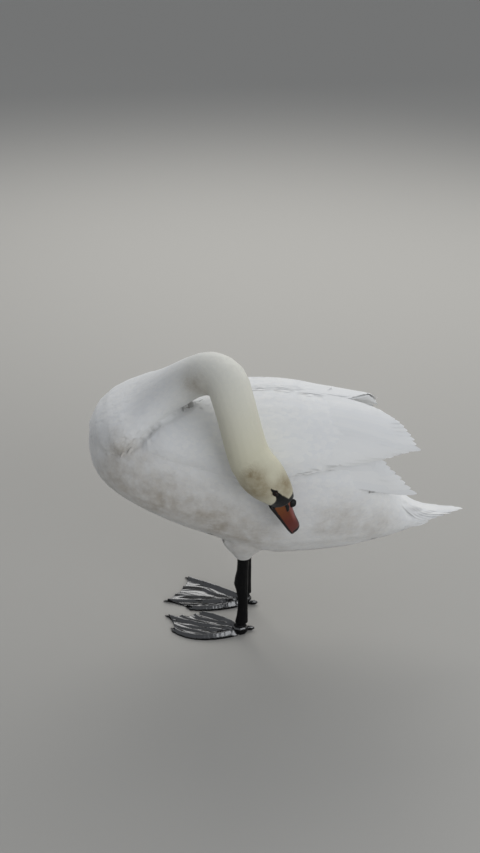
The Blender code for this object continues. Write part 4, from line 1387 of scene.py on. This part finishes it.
def leg_skin(side):
    """Leg and foot as one skin, raised into pleats on the web and scutes on toes and shin."""
    piece = copy_of("leg_skin_" + side, "leg_" + side, "foot_" + side)
    remesh(piece, LEG_SQUARE)
    apply_modifier(piece, "SMOOTH", factor=0.5, iterations=3)
    co, out = places(piece.data), outward(piece.data)
    curves = [toe_curve(t) for t in TOES[side]]
    toe_gap, toe_run = beside_toes(co[:, :2], curves)
    far, first, across = between_toes(co[:, :2], curves)
    inside = np.clip(np.minimum(across, 1 - across), 0, None)
    top = ease(0.15, 0.5, out[:, 2]) * (co[:, 2] < 0.02)
    web = ease(0.0055, 0.0095, toe_gap) * top * ease(0.022, 0.055, far)
    shift = np.where(first, 0.0, 2.3) + (1.1 if side == "right" else 0.0)       # no two webs alike
    bend = 0.35 * np.sin(38 * far + shift * 2) + 0.22 * np.sin(71 * far + 9 * across + shift)
    fold = 1 - np.abs(np.sin(math.pi * (across * 2.6 + bend * 0.55 + shift)))
    fine = 1 - np.abs(np.sin(math.pi * (across * 6.4 + bend * 1.2 + 13 * far)))
    rise = web * (PLEAT * fold ** 1.5 * ease(0.0, 0.18, inside) + FINE_PLEAT * fine ** 2)
    on_top = ease(0.2, 0.6, out[:, 2]) * (co[:, 2] < 0.022)
    scute = ease(0.0095, 0.0060, toe_gap) * on_top * ease(0.02, 0.03, far)
    round_toe = np.sqrt(np.clip(1 - (toe_gap / 0.0078) ** 2, 0, 1))
    rise += scute * (TOE_ROUND * round_toe + SCUTE * (1 - np.abs(np.sin(math.pi * toe_run * 17)) ** 6))
    shin = ease(0.028, 0.036, co[:, 2]) * ease(-0.1, -0.5, out[:, 0])
    rise += shin * SCUTE * (1 - np.abs(np.sin(math.pi * co[:, 2] / SCUTE_STEP)) ** 6)
    moved = co.copy()
    moved[:, 2] += np.where(web + scute > shin, rise, 0)
    moved += out * np.where(web + scute > shin, 0, rise)[:, None]
    put(piece.data, moved)
    piece.data.shade_smooth()
    return piece


legs = {side: leg_skin(side) for side in ("left", "right")}
print("leg skins", [len(piece.data.polygons) for piece in legs.values()], "faces")

# %% Leg and web finishes
WEB_TOP = 0.020                                  # the wet part: what faces up below this height (m)
LEG_FINISH = black_skin_finish("scaled_black_leg_skin", 0.42, 380.0, 0.5, "#08080A", 0.15)
WEB_FINISH = black_skin_finish("wet_black_web_skin", 0.20, 640.0, 0.12, "#0E0F12", 1.0, 1.0)
for side, piece in legs.items():
    piece.data.materials.append(LEG_FINISH)
    piece.data.materials.append(WEB_FINISH)
    for face in piece.data.polygons:
        face.material_index = int(face.center[2] < WEB_TOP and face.normal[2] > 0.3)
print("finishes", LEG_FINISH.name, WEB_FINISH.name)

# %% [markdown]
# ## Claws
#
# Each front toe ends in a short black claw. The solid already has its place and lean, so its copy only
# needs a finer surface: two rounds of subdivision turn the faceted cone into a smooth horn.

# %% Claws
CLAW_FINISH = black_skin_finish("claw_horn", 0.35, 900.0, 0.15)
claws = {}
for side in ("left", "right"):
    for toe in ("inner", "middle", "outer"):
        node = "claw_%s_%s" % (side, toe)
        piece = copy_of(node + "_horn", node)
        apply_modifier(piece, "SUBSURF", levels=2, render_levels=2)
        piece.data.shade_smooth()
        piece.data.materials.append(CLAW_FINISH)
        claws[node] = piece
print("claws", len(claws))

# %% [markdown]
# ## Joining the pieces to the frame
#
# Every piece rides on the one body, since a still model has no other. The solids that a piece stands
# for are hidden, so that they aren't shown beside it.

# %% Riding and replacing
for piece in [skin, *coat, bill, lower_bill, knob, *eyes, *lids, *legs.values(), *claws.values()]:
    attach(piece, "root")
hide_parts(*FLESH)
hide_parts("bill_upper")
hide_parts("bill_lower")
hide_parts("bill_knob")
for side, eye in zip(("left", "right"), eyes):
    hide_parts("eye_" + side)
    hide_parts("leg_" + side, "foot_" + side)
for node, piece in claws.items():
    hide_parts(node)
print("pieces of coat", len(coat), "and others", 4 + len(eyes) + len(lids) + len(legs) + len(claws))

# %% [markdown]
# ## Floor, light and camera
#
# A white bird needs a floor a little darker than itself and light that models it: two large soft boxes
# from above and behind, as the sky over a shore, and a fill from the front. A sun lamp would draw hard
# shadows under every feather. The camera looks down at the bird from the height of a standing person.

# %% Floor and air
bpy.ops.object.select_all(action="DESELECT")
bpy.ops.mesh.primitive_plane_add(size=60, location=(0, 8, 0))
floor = bpy.context.object
floor.name = "floor"
paper, tree, shader = new_finish("matt_studio_floor")
shader.inputs["Base Color"].default_value = linear("#AFADA8")
shader.inputs["Roughness"].default_value = 0.9
floor.data.materials.append(paper)
floor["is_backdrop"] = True

world = bpy.data.worlds.new("studio_air")
bpy.context.scene.world = world
world.use_nodes = True
world.node_tree.nodes["Background"].inputs["Color"].default_value = (0.80, 0.83, 0.88, 1)
world.node_tree.nodes["Background"].inputs["Strength"].default_value = 0.46
print("stage", floor.name, world.name)

# %% Lights


def soft_box(name, place, target, size, watts, colour):
    """A square area light that faces a target."""
    data = bpy.data.lights.new(name, "AREA")
    data.shape, data.size, data.energy, data.color = "SQUARE", size, watts, colour
    lamp = new_object(name, data)
    lamp.location = place
    lamp.rotation_euler = (Vector(target) - Vector(place)).to_track_quat("-Z", "Y").to_euler()
    return lamp


soft_box("rear_softbox", (1.8, 2.3, 2.0), (0, 0, 0.35), 2.0, 22, (1.0, 0.99, 0.97))
soft_box("rear_sky", (-0.5, 2.7, 2.45), (-0.1, 0, 0.1), 2.4, 45, (1.0, 0.99, 0.97))
soft_box("front_fill", (1.7, -2.5, 1.6), (0, 0, 0.3), 2.0, 32, (0.95, 0.97, 1.0))
print("lights", len(bpy.data.lights))

# %% Camera
FOCAL_LENGTH, SENSOR_WIDTH = 53.6, 36.0          # mm
CAMERA_AT, TILT_DOWN = (-0.0833, -2.2874, 1.7891), 29.0         # m, and degrees below level
data = bpy.data.cameras.new("camera")
data.lens, data.sensor_width = FOCAL_LENGTH, SENSOR_WIDTH
camera = new_object("camera", data)
camera.location = CAMERA_AT
camera.rotation_euler = (math.radians(90 - TILT_DOWN), 0, 0)
bpy.context.scene.camera = camera
bpy.context.scene.view_settings.view_transform = "Standard"
print("camera", round(camera.location.length, 2), "m from the middle of the floor")

# %% [markdown]
# ## The size, measured
#
# The dressed bird has to keep the size of its solids. The box round all shown pieces is printed.

# %% The size of the visual model, and the end
low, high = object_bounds()
print("visual box", [round(v, 3) for v in (*low, *high)])
